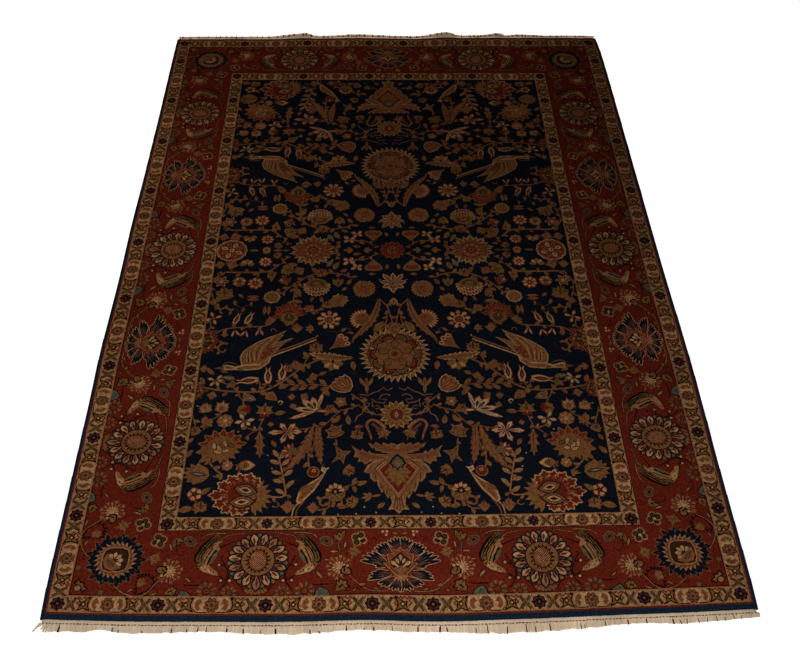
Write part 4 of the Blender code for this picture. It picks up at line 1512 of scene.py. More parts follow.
def fan_pair_half(pen):
    pen.paint(CAMEL, [0 + 34j, 10 + 26j, 24 + 18j, 40 + 12j, 36 + 4j, 28 + 8j, 24 + 0j, 17 + 5j, 11 - 3j,
                      5 + 3j, 0 - 4j])
    for tip in (30 + 10j, 18 + 5j, 7 + 2j):
        pen.paint(OLIVE, turned(lens(0, abs(tip - 26j), 4), math.degrees(cmath.phase(tip - 26j)), 26j))


# a lobe is a bundle of barbed tongues from one root to its tips
Lobe = namedtuple("Lobe", "root width tips")

LOBES = (
    Lobe(6 + 40j, 12, (6 + 95j, 19 + 96j, 32 + 90j, 45 + 82j)),
    Lobe(28 + 20j, 13, (56 + 75j, 70 + 73j, 83 + 65j, 92 + 54j, 84 + 40j)),
    Lobe(40 - 14j, 14, (100 + 40j, 118 + 34j, 136 + 22j, 142 + 4j, 116 + 4j, 100 - 8j, 88 - 20j)),
    Lobe(24 - 44j, 13, (88 - 36j, 104 - 44j, 113 - 56j, 117 - 70j, 98 - 68j)),
    Lobe(16 - 56j, 12, (80 - 84j, 70 - 93j, 56 - 96j)),
    Lobe(6 - 60j, 11, (42 - 104j, 30 - 110j, 17 - 106j, 4 - 114j)),
)


def half_lobes(pen, lobes):
    tongues = []
    for root, width, tips in lobes:
        for tip in tips:
            way = tip - root
            spoke = pen.at(root.real, root.imag, math.degrees(cmath.phase(way)))
            tongues.append((spoke, abs(way), width))
    for spoke, length, width in tongues:
        spoke.at(-2, 0).paint(CREAM, finger(length + 5, width + 5))
    for spoke, length, width in tongues:
        spoke.paint(NAVY, finger(length, width))
    for k, (spoke, length, width) in enumerate(tongues):
        spoke.paint((ROSE, BLUE, ROSE)[k % 3], lens(length * 0.2, length * 0.7, width * 0.22))
    for root, width, tips in lobes:
        spoke = pen.at(root.real, root.imag, math.degrees(cmath.phase(sum(tips) / len(tips) - root)))
        spoke.paint(RED, barbed(abs(sum(tips) / len(tips) - root) * 0.42, width * 0.7))


def palmette_heart(pen):
    """The ogee frame, its dark panel of buds, and the fan at its foot."""
    frame = [0 + 59j, 9 + 44j, 29 + 50j, 25 + 34j, 49 + 28j, 45 + 9j, 44 - 2j, 62 - 6j, 51 - 18j, 36 - 34j,
             20 - 52j, 0 - 62j]
    ring = frame + [complex(-z.real, z.imag) for z in frame[-2:0:-1]]
    pen.paint(RED, [z * 1.12 for z in ring])
    pen.paint(BUFF, ring)
    pen.paint(RED, [z * 0.91 for z in ring])
    pen.paint(ROSE, [z * 0.83 for z in ring])
    panel = [0 + 42j, 15 + 26j, 29 + 16j, 40 + 3j, 39 - 15j, 25 - 28j, 0 - 42j, -25 - 28j, -39 - 15j,
             -40 + 3j, -29 + 16j, -15 + 26j]
    for grow, dye in ((1.0, CAMEL), (0.93, BROWN), (0.84, UMBER)):
        pen.paint(dye, [z * grow for z in panel])
    pen.paint(CAMEL, [-25 - 25j, 0 - 15j, 25 - 25j, 10 - 48j, 0 - 55j, -10 - 48j])
    buds = ((0, 15, 90, 25, 13), (-11, 2, 118, 25, 12), (11, 2, 62, 25, 12), (-24, -7, 142, 28, 15),
            (24, -7, 38, 28, 15), (-13, -16, 128, 22, 9), (13, -16, 52, 22, 9))
    for grow, dye in ((4, BROWN), (0, CREAM)):
        for x, y, turn, length, width in buds:
            pen.paint(dye, turned(lens(-length / 2 - grow / 2, length / 2 + grow / 2, width + grow, 0.7),
                                  turn, complex(x, y)))
    pen.paint(GOLD, turned(lens(-15, 13, 9), 90, -28j))
    for side in (-1, 1):
        pen.stroke(ROSE, [complex(4 * side, -50), complex(24 * side, -26)], 3.4)
    for k in range(7):
        pen.paint(BUFF, turned(lens(4, 32 if k % 2 else 28, 8), -168 + 26 * k, -50j))
        pen.paint(RED, turned(lens(12, 26, 3), -155 + 26 * k, -50j))


def corner_palmette_heart(pen):
    """A rounded square panel of buds inside a ring of short dark tufts."""
    for grow, dye in ((3.5, CAMEL), (0, NAVY)):
        for k in range(26):
            reach = (113, 100, 108, 96)[k % 4]
            pen.paint(dye, turned(lens(60 - grow, reach + 1.3 * grow, 21 + 1.2 * grow, 0.95, 4),
                                  360 / 26 * (k + 0.15 * (k % 3))))
    pen.paint(NAVY, circle(90))
    for k in range(26):
        pen.paint((RED, NAVY, BLUE, ROSE)[k % 4], turned(lens(80, 97, 5.5), 360 / 26 * k))
    pen.paint(BUFF, star(24, 60, 77, 0.3))
    pen.paint(RED, star(24, 54, 64, 0.3))
    for r, dye in ((55, ROSE), (50, BUFF), (45, BROWN), (42, UMBER)):
        pen.paint(dye, [z * r for z in (1 + 0.4j, 0.84 + 0.84j, 0.4 + 1j, -0.4 + 1j, -0.84 + 0.84j,
                                        -1 + 0.4j, -1 - 0.4j, -0.84 - 0.84j, -0.4 - 1j, 0.4 - 1j,
                                        0.84 - 0.84j, 1 - 0.4j)])
    foot = pen.at(0, 0, -45)
    foot.paint(CAMEL, [-40 - 6j, 0 - 6j, 40 - 6j, 28 - 34j, 0 - 46j, -28 - 34j])
    foot.paint(OLIVE, [-24 - 18j, 0 - 12j, 24 - 18j, 0 - 34j])
    for grow, dye in ((4, BROWN), (0, CREAM)):
        for angle in (10, 50, 90, 130, 170):
            foot.paint(dye, turned(lens(8 - grow / 2, 34 + grow / 2, 15 + grow, 0.7), angle, -6j))
    for angle in (-120, -90, -60):
        foot.paint(ROSE, turned(lens(4, 30, 6), angle, -10j))


def palmette(pen):
    for side in both_sides_of(pen):
        half_lobes(side, LOBES)
    palmette_heart(pen)


def three_lobes(pen):
    """A fat flower of four round petals with a toothed pale rim."""
    spots = [polar(15, angle) for angle in (10, 88, -72, 180)]
    for k, spot in enumerate(spots):
        pen.paint(BUFF, [z + spot for z in star(11, 13.5, 18.5 if k < 3 else 14)])
    pen.paint(BUFF, circle(12))
    for k, spot in enumerate(spots):
        pen.paint(BROWN, [z + spot * 1.05 for z in circle(10.5 if k < 3 else 7, 11)])
        pen.paint(OLIVE, [z + spot * 1.1 for z in circle(6.5 if k < 3 else 4, 9)])
        pen.paint(BROWN, turned(lens(-5, 5, 3), 40, spot * 1.1))
    pen.petal(BROWN, 30, -22, -2, 8)
    pen.paint(CREAM, circle(5, 7))


GOLD_LEAF_TIPS = ((0, 33), (38, 20), (78, 27), (118, 22), (168, 31), (214, 18), (258, 26), (318, 20))


def gold_star(pen):
    """A ragged gold leaf with long points, shaded on one side."""
    spiky(pen, GOLD, GOLD_LEAF_TIPS, 14.5)
    pen.petal(CAMEL, 8, -14, 20, 11)
    pen.petal(OLIVE, 100, -16, 14, 4)


def carnation(pen):
    """A feathery flower that opens along +x from a gold cup."""
    for k in range(13):
        angle = -132 + 22 * k
        pen.paint(BUFF, turned(star_petal(50 if k % 2 else 44), angle))
    for k in range(12):
        pen.petal(RED, -121 + 22 * k, 14, 52, 7.5)
    for k in range(6):
        pen.petal(ROSE, -110 + 44 * k, 20, 44, 6)
    for k in range(9):
        angle = -120 + 30 * k
        pen.petal(RED, angle, 8, 30, 12, 0.8)
        pen.petal(CREAM, angle, 8, 26, 7.5, 0.8)
    pen.paint(BROWN, [-52, -40 + 15j, -16 + 19j, -6 + 6j, -6 - 6j, -16 - 19j, -40 - 15j])
    pen.paint(CAMEL, [-46, -38 + 10j, -20 + 13j, -12 + 3j, -12 - 3j, -20 - 13j, -38 - 10j])
    pen.paint(BROWN, turned(lens(-12, 12, 6), 50, -22 + 0j))
    pen.paint(CREAM, circle(9, 9))
    pen.paint(BROWN, [z - 22 + 20j for z in circle(9, 9)])
    pen.paint(CREAM, [z - 22 + 20j for z in circle(6, 8)])


def star_petal(r):
    return [4 - 3j, r * 0.5 - 6j, r * 0.72 - 11j, r * 0.74 - 4j, r - 6j, r * 0.9 + 0j, r + 6j,
            r * 0.74 + 4j, r * 0.72 + 11j, r * 0.5 + 6j, 4 + 3j]


def rim_leaf(pen, length=34, width=14, dye=CAMEL):
    pen.paint(BROWN, turned(blade(length + 8, width + 8, 20, 2, 0.2), 0, -4))
    pen.paint(dye, blade(length, width, 20, 2, 0.2))


def v_leaf(pen):
    """A three-part leaf on a stalk, outlined in brown."""
    for dye, grow in ((BROWN, 1.0), (GOLD, 0.0)):
        for angle, length in ((-34, 38), (30, 44), (0, 36)):
            pen.at(0, 0, angle).paint(dye, blade(length + 5 * grow, 13 + 6 * grow, 0, 2, 0.2))
    pen.paint(BROWN, lens(4, 30, 4))
    pen.petal(OLIVE, 30, 8, 34, 5)


def olive_leaf(pen):
    pen.at(-30, 0).paint(BROWN, blade(64, 46, 0, 4, 0.42))
    pen.at(-26, 0).paint(GOLD, blade(54, 32, 0, 4, 0.44))
    for angle in (-30, 0, 30):
        pen.petal(BROWN, angle, -18, 16, 4)


def berry_small(pen):
    pen.paint(CREAM, circle(5.5, 8))


brown_curl = set_form(curl, 12, BROWN, 3.6, 200)

# stems beside the palmette: width, dye, rim and points
PALMETTE_STEMS = (
    (3.2, BUFF, BROWN, ((46, 14), (76, 13), (108, 16), (132, 26), (152, 44), (170, 60), (184, 76))),
    (3.6, SAGE, BROWN, ((219, 212), (222, 190), (217, 166))),
    (3.2, BROWN, None, ((196, 186), (190, 166), (194, 150))),
    (3.0, BROWN, None, ((84, 226), (76, 220), (72, 232))),
    (3.6, BROWN, None, ((60, 24), (76, 34), (92, 24))),
    (3.0, BROWN, None, ((150, 20), (164, 28), (172, 14))),
    (3.2, BROWN, None, ((236, 44), (262, 40), (284, 44))),
)

PALMETTE_MOTIFS = (
    m(berry_small, 48, 244), m(berry_small, 62, 243), m(berry_small, 50, 231), m(rim_leaf, 2, 236, 8, 0.8),
    m(brown_curl, 92, 208), m(three_lobes, 147, 214, 20, 1.05), m(gold_star, 166, 164, -70),
    m(carnation, 218, 104, 30), m(rim_leaf, 122, 40, -4, 0.85), m(rim_leaf, 74, 20, 14, 0.7),
    m(rim_leaf, 156, 24, -30, 0.5), m(v_leaf, 216, 208, 80), m(pale_leaf, 198, 192, 100, 0.9),
    m(pale_leaf, 238, 166), m(olive_leaf, 212, 32, 136), m(sage_ring, 266, 208, 30, 1.05),
    m(grey_patch, 276, 15, 0, 1.1), m(pale_leaf, 288, 78, 50, 1.2), m(pale_leaf, 262, 134, 10, 0.7),
)


def border_palmette_unit(pen):
    for side in both_sides_of(pen):
        for width, dye, rim, points in PALMETTE_STEMS:
            vine(side, points, width, dye, rim)
    palmette(pen.at(0, 125))
    for motif in PALMETTE_MOTIFS:
        both(pen, *motif)


def border_corner_unit(pen):
    """The corner's palmette; x runs out along one border and y inwards, and the diagonal mirrors it."""
    corner_palmette_heart(pen.at(4, 6))
    across = Pen(pen.art, pen.turn * 1j * (-1 if pen.mirrored else 1), pen.middle, not pen.mirrored)
    for side in (pen, across):
        three_lobes(side.at(80, 146, 60, 1.05))
        gold_star(side.at(10, 142, 30))
        carnation(side.at(-40, 200, 100))
        leaf_line = [-57 + 98j, -54 + 131j, -65 + 146j, -80 + 155j, -100 + 148j, -117 + 131j, -131 + 94j,
                     -92 + 96j]
        middle = -90 + 122j
        for spot in split_line(leaf_line, 13):
            side.paint(BROWN, turned(lens(-6, 10, 9), math.degrees(cmath.phase(spot - middle)), spot))
        side.paint(BROWN, leaf_line)
        side.paint(RED, [middle + (z - middle) * 0.86 for z in leaf_line])
        maple(side.at(-82, 106, 100), 22, CAMEL, GOLD)
        vine(side, ((-67, 178), (-84, 160), (-113, 140), (-132, 115), (-133, 81), (-121, 48), (-98, 19)),
             3.0, BUFF, BROWN)
        sage_ring(side.at(77, 260, -60, 1.05))
        v_leaf(side.at(92, 204, 150, 0.95))
        vine(side, ((92, 206), (60, 214), (26, 222), (22, 244)), 3.2, BROWN)
        pale_leaf(side.at(54, 194, -20))
        pale_leaf(side.at(-127, 156, 70, 0.8))
        pale_leaf(side.at(-73, 269, 130, 0.9))
        olive_leaf(side.at(-117, 212, 70, 0.8))
        grey_patch(side.at(-128, 262, -90))
        pale_leaf(side.at(-112, 74, 60, 0.7))
        side.at(-121, -27).paint(SAGE, star(5, 6, 12))
        vine(side, ((27, -106), (16, -114), (4, -104)), 3.2, BROWN)
    bud = pen.at(-96, -92, 45)
    bud.paint(BROWN, [-20 - 26j, 6 - 30j, 4 - 10j, 14 + 0j, 4 + 10j, 6 + 30j, -20 + 26j, -10 + 0j])
    bud.paint(GOLD, [-14 - 20j, 1 - 24j, -2 - 8j, 6 + 0j, -2 + 8j, 1 + 24j, -14 + 20j, -5 + 0j])
    bud.paint(BROWN, circle_at(-20, 14, 9))
    bud.paint(BUFF, circle_at(-20, 11, 9))


def split_line(points, step):
    out = []
    for a, b in zip(points, points[1:] + points[:1]):
        n = max(1, round(abs(b - a) / step))
        out += [a + (b - a) * k / n for k in range(n)]
    return out


# ------------------------------------------------------------------ guards
def guard_rosette(pen):
    """A navy lozenge with eight knobs, a broken red ring and a small gold heart."""
    for k in range(8):
        pen.paint(NAVY, [polar(21, 45 * k) + z for z in circle(5.2, 7)])
    pen.paint(NAVY, turned(circle(22.5, 8), 22.5))
    for k in range(4):
        pen.stroke(RED, [polar(15.5, 90 * k + 12), polar(16.5, 90 * k + 45), polar(15.5, 90 * k + 78)], 4.6)
    pen.paint(BROWN, circle(7.4, 8))
    pen.paint(GOLD, turned(circle(4.8, 4), 45))


def chevrons(pen):
    """Pale ground round the lozenge, then a feathered olive cross with dark outlines."""
    pen.paint(DEEP_CREAM, [0 - 27j, 105 - 27j, 105 + 27j, 0 + 27j])
    for x, bend in ((31, 8), (67, -8)):
        pen.stroke(UMBER, [complex(x - bend, -27), complex(x + bend, 0), complex(x - bend, 27)], 2.8)
    arms = [34 - 27j, 50 - 8j, 64 - 27j, 70 - 22j, 60 + 0j, 70 + 22j, 64 + 27j, 50 + 8j, 34 + 27j, 30 + 20j,
            42 + 0j, 30 - 20j]
    pen.paint(UMBER, arms)
    pen.paint(OLIVE, [50 + (z - 50) * 0.84 for z in arms])
    for sign in (-1, 1):
        for x in (43, 57):
            pen.stroke(CAMEL, [complex(x, 0), complex(50, 13 * sign), complex(50, 24 * sign)], 2.6)


def zigzag(pen):
    """A red stroke bent to and fro on the guard's inner half."""
    for points in ((74 - 22j, 84 - 13j, 75 - 3j, 86 + 6j),
                   (78 - 27j, 91 - 18j, 98 - 26j, 107 - 19j, 112 - 26j)):
        pen.stroke(RED, list(points), 6.2)


def cross(pen):
    """A dark four-armed cross with a pale ringed eye; it leans on the pale panel."""
    arms = [71 + 28j, 82 + 14j, 86 + 3j, 82 - 12j, 93 - 10j, 101 - 13j, 112 - 19j, 118 - 28j, 129 - 27j,
            122 - 11j, 119 + 0j, 122 + 12j, 131 + 28j, 113 + 22j, 100 + 16j, 89 + 22j]
    pen.paint(BROWN, arms)
    pen.paint(GOLD, [101 + 0.5j + (z - 101 - 0.5j) * 0.68 for z in arms])
    pen.paint(BROWN, circle_at(100, 9.4, 9))
    pen.paint(CREAM, circle_at(100, 4.8, 8))


def cartouche(pen):
    """Half of a pale panel with a rose crescent, and the flower at its middle."""
    pen.paint(CREAM, [127 - 20j, 134 - 27j, 192 - 27j, 192 + 25j, 140 + 25j, 129 + 16j, 125 + 0j])
    pen.stroke(BROWN, [128 + 14j, 134 + 23j, 143 + 26j, 176 + 26j], 3.6)
    for width, dye in ((20, CAMEL), (11, ROSE)):
        pen.stroke(dye, smooth([154 - 16j, 142 - 9j, 140 + 5j, 149 + 16j]), width, 0.25)
    flower = pen.at(192, 0, size=1.1)
    for k in range(8):
        lobe = polar(17.5, 22.5 + 45 * k)
        flower.paint(UMBER, [lobe + z for z in circle(7.8, 8)])
        flower.paint(ROSE, [lobe * 1.02 + z for z in circle(5.0, 7)])
    flower.paint(CAMEL, circle(12.5, 10))
    flower.paint(UMBER, circle(6.2, 8))
    flower.paint(OLIVE, circle(3.0, 6))


GUARD_REPEAT = 384
SHORT_REPEAT = 210           # a unit beside a corner or a middle has no cartouche
SHORT_UNIT = 290             # units under this length are short ones
GUARD_WIDTH = 58


def guard_half(pen, short=False):
    chevrons(pen)
    zigzag(pen)
    cross(pen.at(5, 0) if short else pen)
    if not short:
        cartouche(pen)


def guard(art, stops, place, width):
    """Units between neighbouring rosettes, each stretched to its own length; place(s, t) puts a point."""
    for a, b in zip(stops, stops[1:]):
        length = b - a
        short = length < SHORT_UNIT
        natural = SHORT_REPEAT if short else GUARD_REPEAT
        for start, way in ((a, 1), (b, -1)):
            scrap = []
            guard_half(Pen(scrap), short)
            for dye, points in scrap:
                art.append((dye, [place(start + way * z.real * length / natural,
                                        z.imag * width / GUARD_WIDTH)
                                  for z in points]))
    for stop in stops:
        scrap = []
        guard_rosette(Pen(scrap))
        for dye, points in scrap:
            art.append((dye, [place(stop + z.real * width / GUARD_WIDTH, z.imag * width / GUARD_WIDTH)
                              for z in points]))


# ------------------------------------------------------------------ laying it out, in millimetres, y away
CENTRE = (-6, 14)
Level = namedtuple("Level", "side near far")
LEVELS = {
    "pile": Level(1230, 1775, 1782),
    "line": Level(1226, 1754, 1773),
    "outer guard": Level(1221, 1748, 1767),
    "border": Level(1154, 1682, 1698),
    "inner guard": Level(884, 1429, 1433),
    "field": Level(818, 1372, 1366),
}
OUTER_STOPS = {
    "near": (-1187, -840, -472, -105, 105, 472, 840, 1187),
    "far": (-1195, -835, -472, -112, 88, 459, 827, 1179),
    "side": (-1714, -1362, -1018, -660, -282, 72, 432, 820, 1173, 1548, 1732),
}
INNER_STOPS = {
    "near": (-851, -488, -110, 110, 488, 851),
    "far": (-851, -480, -112, 108, 467, 851),
    "side": (-1400, -1040, -688, -318, 75, 433, 827, 1174, 1399),
}
BORDER_SIDES = ((-1540, "corner"), (-1040, "rosette"), (-540, "palmette"), (24, "rosette"),
                (550, "palmette"), (1060, "rosette"), (1560, "corner"))
BORDER_ENDS = ((-1018, "corner"), (-510, "rosette"), (-4, "palmette"), (502, "rosette"), (1016, "corner"))
UNIT = 507
CORNER_MIDDLE = (1018, 134)  # of a corner palmette: from the rug's middle, and in from the border's edge
FAR_SQUASH = 0.9755          # the field's far half is a little shorter than its near half


def ring(level, inset=0.0):
    """A level's outline, with points close enough to follow a bowed edge."""
    side, near, far = LEVELS[level]
    corners = [complex(-side + inset, -near + inset), complex(side - inset, -near + inset),
               complex(side - inset, far - inset), complex(-side + inset, far - inset)]
    return split_line(corners, 30)


def guards(art, outer, inner, stops):
    """One guard all round, between two levels."""
    a, b = LEVELS[outer], LEVELS[inner]
    outlines = 6
    width = a.side - b.side - outlines
    near, far, side = (-(a.near + b.near) / 2, (a.far + b.far) / 2, (a.side + b.side) / 2)
    ends = (a.near - b.near - outlines, a.far - b.far - outlines)
    guard(art, stops["near"], lambda s, t: complex(s, near - t), ends[0])
    guard(art, stops["far"], lambda s, t: complex(s, far + t), ends[1])
    for sign in (-1, 1):
        guard(art, stops["side"], lambda s, t: complex(sign * (side + t), s), width)


def stretch(value, stops):
    """From even units to the measured places along a border."""
    k = max(0, min(len(stops) - 2, int(math.floor(value / UNIT))))
    share = value / UNIT - k
    return stops[k][0] + (stops[k + 1][0] - stops[k][0]) * share


def borders(art):
    """The main border's units along its ends and sides, then its four corners."""
    depth = LEVELS["border"]
    runs = ((BORDER_ENDS, lambda s, t: complex(s, -depth.near + t)),
            (BORDER_ENDS, lambda s, t: complex(s, depth.far - t)),
            (BORDER_SIDES, lambda s, t: complex(depth.side - t, s)),
            (BORDER_SIDES, lambda s, t: complex(-depth.side + t, s)))
    for stops, place in runs:
        for k, (_, kind) in enumerate(stops):
            if kind == "corner":
                continue
            scrap = []
            unit = border_rosette_unit if kind == "rosette" else border_palmette_unit
            unit(Pen(scrap, 1 + 0j, complex(k * UNIT, 0)))
            for dye, points in scrap:
                art.append((dye, [place(stretch(z.real, stops), z.imag) for z in points]))
    along, inwards = CORNER_MIDDLE
    for x in (-1, 1):
        for y, edge in ((-1, depth.near), (1, depth.far)):
            scrap = []
            border_corner_unit(Pen(scrap))
            for dye, points in scrap:
                art.append((dye, [complex(x * (along - z.real),
                                          y * (edge - inwards - z.imag)) for z in points]))


def whole():
    """Regions by name: a list of (dye, points), painted in order, in world millimetres."""
    regions = {"field": [(BROWN, ring("field"))], "inner guard": [(BROWN, ring("inner guard"))],
               "border": [(BROWN, ring("border"))], "outer guard": [(BROWN, ring("outer guard"))],
               "edge": [(END_BLUE, ring("pile")), (RED, ring("line"))]}
    regions["field"].append((NAVY, ring("field", 3)))
    scrap = []
    field(scrap)
    for dye, points in scrap:
        placed = [complex(CENTRE[0] + z.real, CENTRE[1] - z.imag * (1 if z.imag > 0 else FAR_SQUASH))
                  for z in points]
        regions["field"].append((dye, placed))
    regions["inner guard"].append((BUFF, ring("inner guard", 3)))
    guards(regions["inner guard"], "inner guard", "field", INNER_STOPS)
    regions["border"].append((RED, ring("border", 4)))
    borders(regions["border"])
    regions["outer guard"].append((BUFF, ring("outer guard", 0.8)))
    guards(regions["outer guard"], "outer guard", "border", OUTER_STOPS)
    return regions


# ------------------------------------------------------------------ reading the solids
FOUNDATION = 3.0 * MM
PILE_HEIGHT = 6.0 * MM
WALL_HEIGHT = 5.0 * MM       # a face taller than this is one of the pile's four walls
CARPET = frame["nodes"]["carpet"]


def pile_walls():
    """The foot of the pile's walls: along and across places of each side, sorted along it."""
    mesh = CARPET.data
    feet = {"left": {}, "right": {}, "near": {}, "far": {}}
    for face in mesh.polygons:
        corners = [mesh.vertices[i].co for i in face.vertices]
        low, high = min(c.z for c in corners), max(c.z for c in corners)
        if high - low < WALL_HEIGHT or abs(face.normal.z) > 0.5:
            continue
        if abs(face.normal.x) > abs(face.normal.y):
            side = "left" if face.normal.x < 0 else "right"
        else:
            side = "near" if face.normal.y < 0 else "far"
        for c in corners:
            along, across = (c.y, c.x) if side in ("left", "right") else (c.x, c.y)
            key = round(along, 3)
            known = feet[side].get(key)
            if known is None or abs(across) < abs(known):
                feet[side][key] = across
    return {side: innermost(np.array(sorted(found.items()))) for side, found in feet.items()}


def innermost(line):
    """Only the points that lie on the pile itself, not on the band outside it."""
    keep = [k for k, (along, across) in enumerate(line)
            if abs(across) < np.abs(line[np.abs(line[:, 0] - along) < 0.06, 1]).min() + 0.008]
    return line[keep]


WALLS = pile_walls()


def wall(side, along):
    return np.interp(along, WALLS[side][:, 0], WALLS[side][:, 1])


X_LEFT, X_RIGHT = float(wall("left", 0.0)), float(wall("right", 0.0))
Y_NEAR, Y_FAR = float(wall("near", 0.0)), float(wall("far", 0.0))
EDGE_HOLD = 6                # how fast the edges' bow fades towards the middle of the rug
BUCKLED_ZONE = 0.19          # far strip in which the solids rise off the floor

_under = BVHTree.FromPolygons([v.co for v in CARPET.data.vertices],
                              [tuple(p.vertices) for p in CARPET.data.polygons])


def lift(x, y):
    """How far the carpet's underside stands off the floor."""
    if y < Y_FAR - BUCKLED_ZONE:
        return 0.0
    x = min(max(x, X_LEFT + 0.004), X_RIGHT - 0.004)
    for back in (0.0, 0.002, 0.005, 0.010, 0.020, 0.035, 0.05):
        hit = _under.ray_cast(Vector((x, y - back, -0.1)), Vector((0, 0, 1)))[0]
        if hit is not None:
            return max(hit.z, 0.0)
    return 0.0


def plan_to_frame(points):
    """Flat plan places in millimetres, as complex numbers, to x and y in the part's frame."""
    z = np.array(points, complex)
    pile = LEVELS["pile"]
    u = z.real / pile.side
    v = np.where(z.imag < 0, z.imag / pile.near, z.imag / pile.far)
    x = X_LEFT + (X_RIGHT - X_LEFT) * (u + 1) / 2
    y = Y_NEAR + (Y_FAR - Y_NEAR) * (z.imag + pile.near) / (pile.near + pile.far)
    bow_x = np.where(u < 0, wall("left", y) - X_LEFT, wall("right", y) - X_RIGHT)
    bow_y = np.where(v < 0, wall("near", x) - Y_NEAR, wall("far", x) - Y_FAR)
    return x + bow_x * np.abs(u) ** EDGE_HOLD, y + bow_y * np.abs(v) ** EDGE_HOLD


# ------------------------------------------------------------------ colours and materials
DYES = {
    NAVY: (0.0054, 0.0075, 0.0118), RED: (0.1190, 0.0140, 0.0070), MADDER: (0.0481, 0.0100, 0.0054),
    CAMEL: (0.2020, 0.0780, 0.0270), GOLD: (0.1880, 0.0830, 0.0225), CREAM: (0.4250, 0.2250, 0.0960),
    ROSE: (0.1701, 0.0515, 0.0232), SAGE: (0.1029, 0.0813, 0.0398), OLIVE: (0.0581, 0.0365, 0.0133),
    BROWN: (0.0100, 0.0050, 0.0033), BLUE: (0.0581, 0.0681, 0.0598), BUFF: (0.2900, 0.1290, 0.0530),
    CORAL: (0.1950, 0.0373, 0.0174), UMBER: (0.0357, 0.0141, 0.0075), END_BLUE: (0.0087, 0.0203, 0.0357),
    # The ivory is cream with a painted sheen highlight; the deep cream is the guards' ground, and in the
    # field's far half it is painted shade.
    SHEEN_IVORY: (0.4600, 0.2850, 0.1600),
    DEEP_CREAM: (0.3650, 0.1820, 0.0760),
}


class Shader:
    """A material's nodes, built by short calls."""

    def __init__(self, name, roughness=0.9):
        self.material = bpy.data.materials.new(name)
        self.material.use_nodes = True
        self.tree = self.material.node_tree
        self.out = self.tree.nodes["Principled BSDF"]
        self.out.inputs["Roughness"].default_value = roughness
        self.out.inputs["Specular IOR Level"].default_value = 0.0
        self.place = self.tree.nodes.new("ShaderNodeTexCoord").outputs["Object"]

    def node(self, kind, **values):
        made = self.tree.nodes.new(kind)
        for key, value in values.items():
            if hasattr(made, key):
                setattr(made, key, value)
            else:
                self.feed(made.inputs[key.replace("_", " ")], value)
        return made

    def feed(self, socket, value):
        if isinstance(value, bpy.types.NodeSocket):
            self.tree.links.new(value, socket)
        else:
            socket.default_value = value

    def math(self, operation, a, b=0.0, c=0.0):
        made = self.tree.nodes.new("ShaderNodeMath")
        made.operation = operation
        for socket, value in zip(made.inputs, (a, b, c)):
            self.feed(socket, value)
        return made.outputs[0]

    def scaled(self, x, y, z):
        made = self.tree.nodes.new("ShaderNodeMapping")
        made.inputs["Scale"].default_value = (x, y, z)
        self.tree.links.new(self.place, made.inputs["Vector"])
        return made.outputs[0]

    def noise(self, scale, detail=2.0, vector=None, roughness=0.5):
        made = self.node("ShaderNodeTexNoise", Scale=scale, Detail=detail, Roughness=roughness)
        self.tree.links.new(vector or self.place, made.inputs["Vector"])
        return made.outputs["Fac"]

    def span(self, value, low, high, to_low=0.0, to_high=1.0):
        made = self.node("ShaderNodeMapRange", Value=value)
        for key, number in (("From Min", low), ("From Max", high), ("To Min", to_low), ("To Max", to_high)):
            made.inputs[key].default_value = number
        return made.outputs["Result"]

    def mix(self, share, a, b, blend="MIX"):
        made = self.tree.nodes.new("ShaderNodeMix")
        made.data_type = "RGBA"
        made.blend_type = blend
        self.feed(made.inputs[0], share)
        for socket, value in ((made.inputs[6], a), (made.inputs[7], b)):
            self.feed(socket, value if isinstance(value, bpy.types.NodeSocket) else (*value, 1.0)[:4])
        return made.outputs[2]

    def shade(self, colour, factor):
        """A colour made lighter or darker by a factor."""
        made = self.tree.nodes.new("ShaderNodeVectorMath")
        made.operation = "SCALE"
        self.feed(made.inputs[0], colour)
        self.feed(made.inputs["Scale"], factor)
        return made.outputs[0]

    def bump(self, height, strength, distance):
        made = self.node("ShaderNodeBump", Height=height, Strength=strength, Distance=distance)
        self.tree.links.new(made.outputs[0], self.out.inputs["Normal"])
        return made.outputs[0]

    def colour(self, value):
        self.feed(self.out.inputs["Base Color"], value)


KNOT = 2.4 * MM


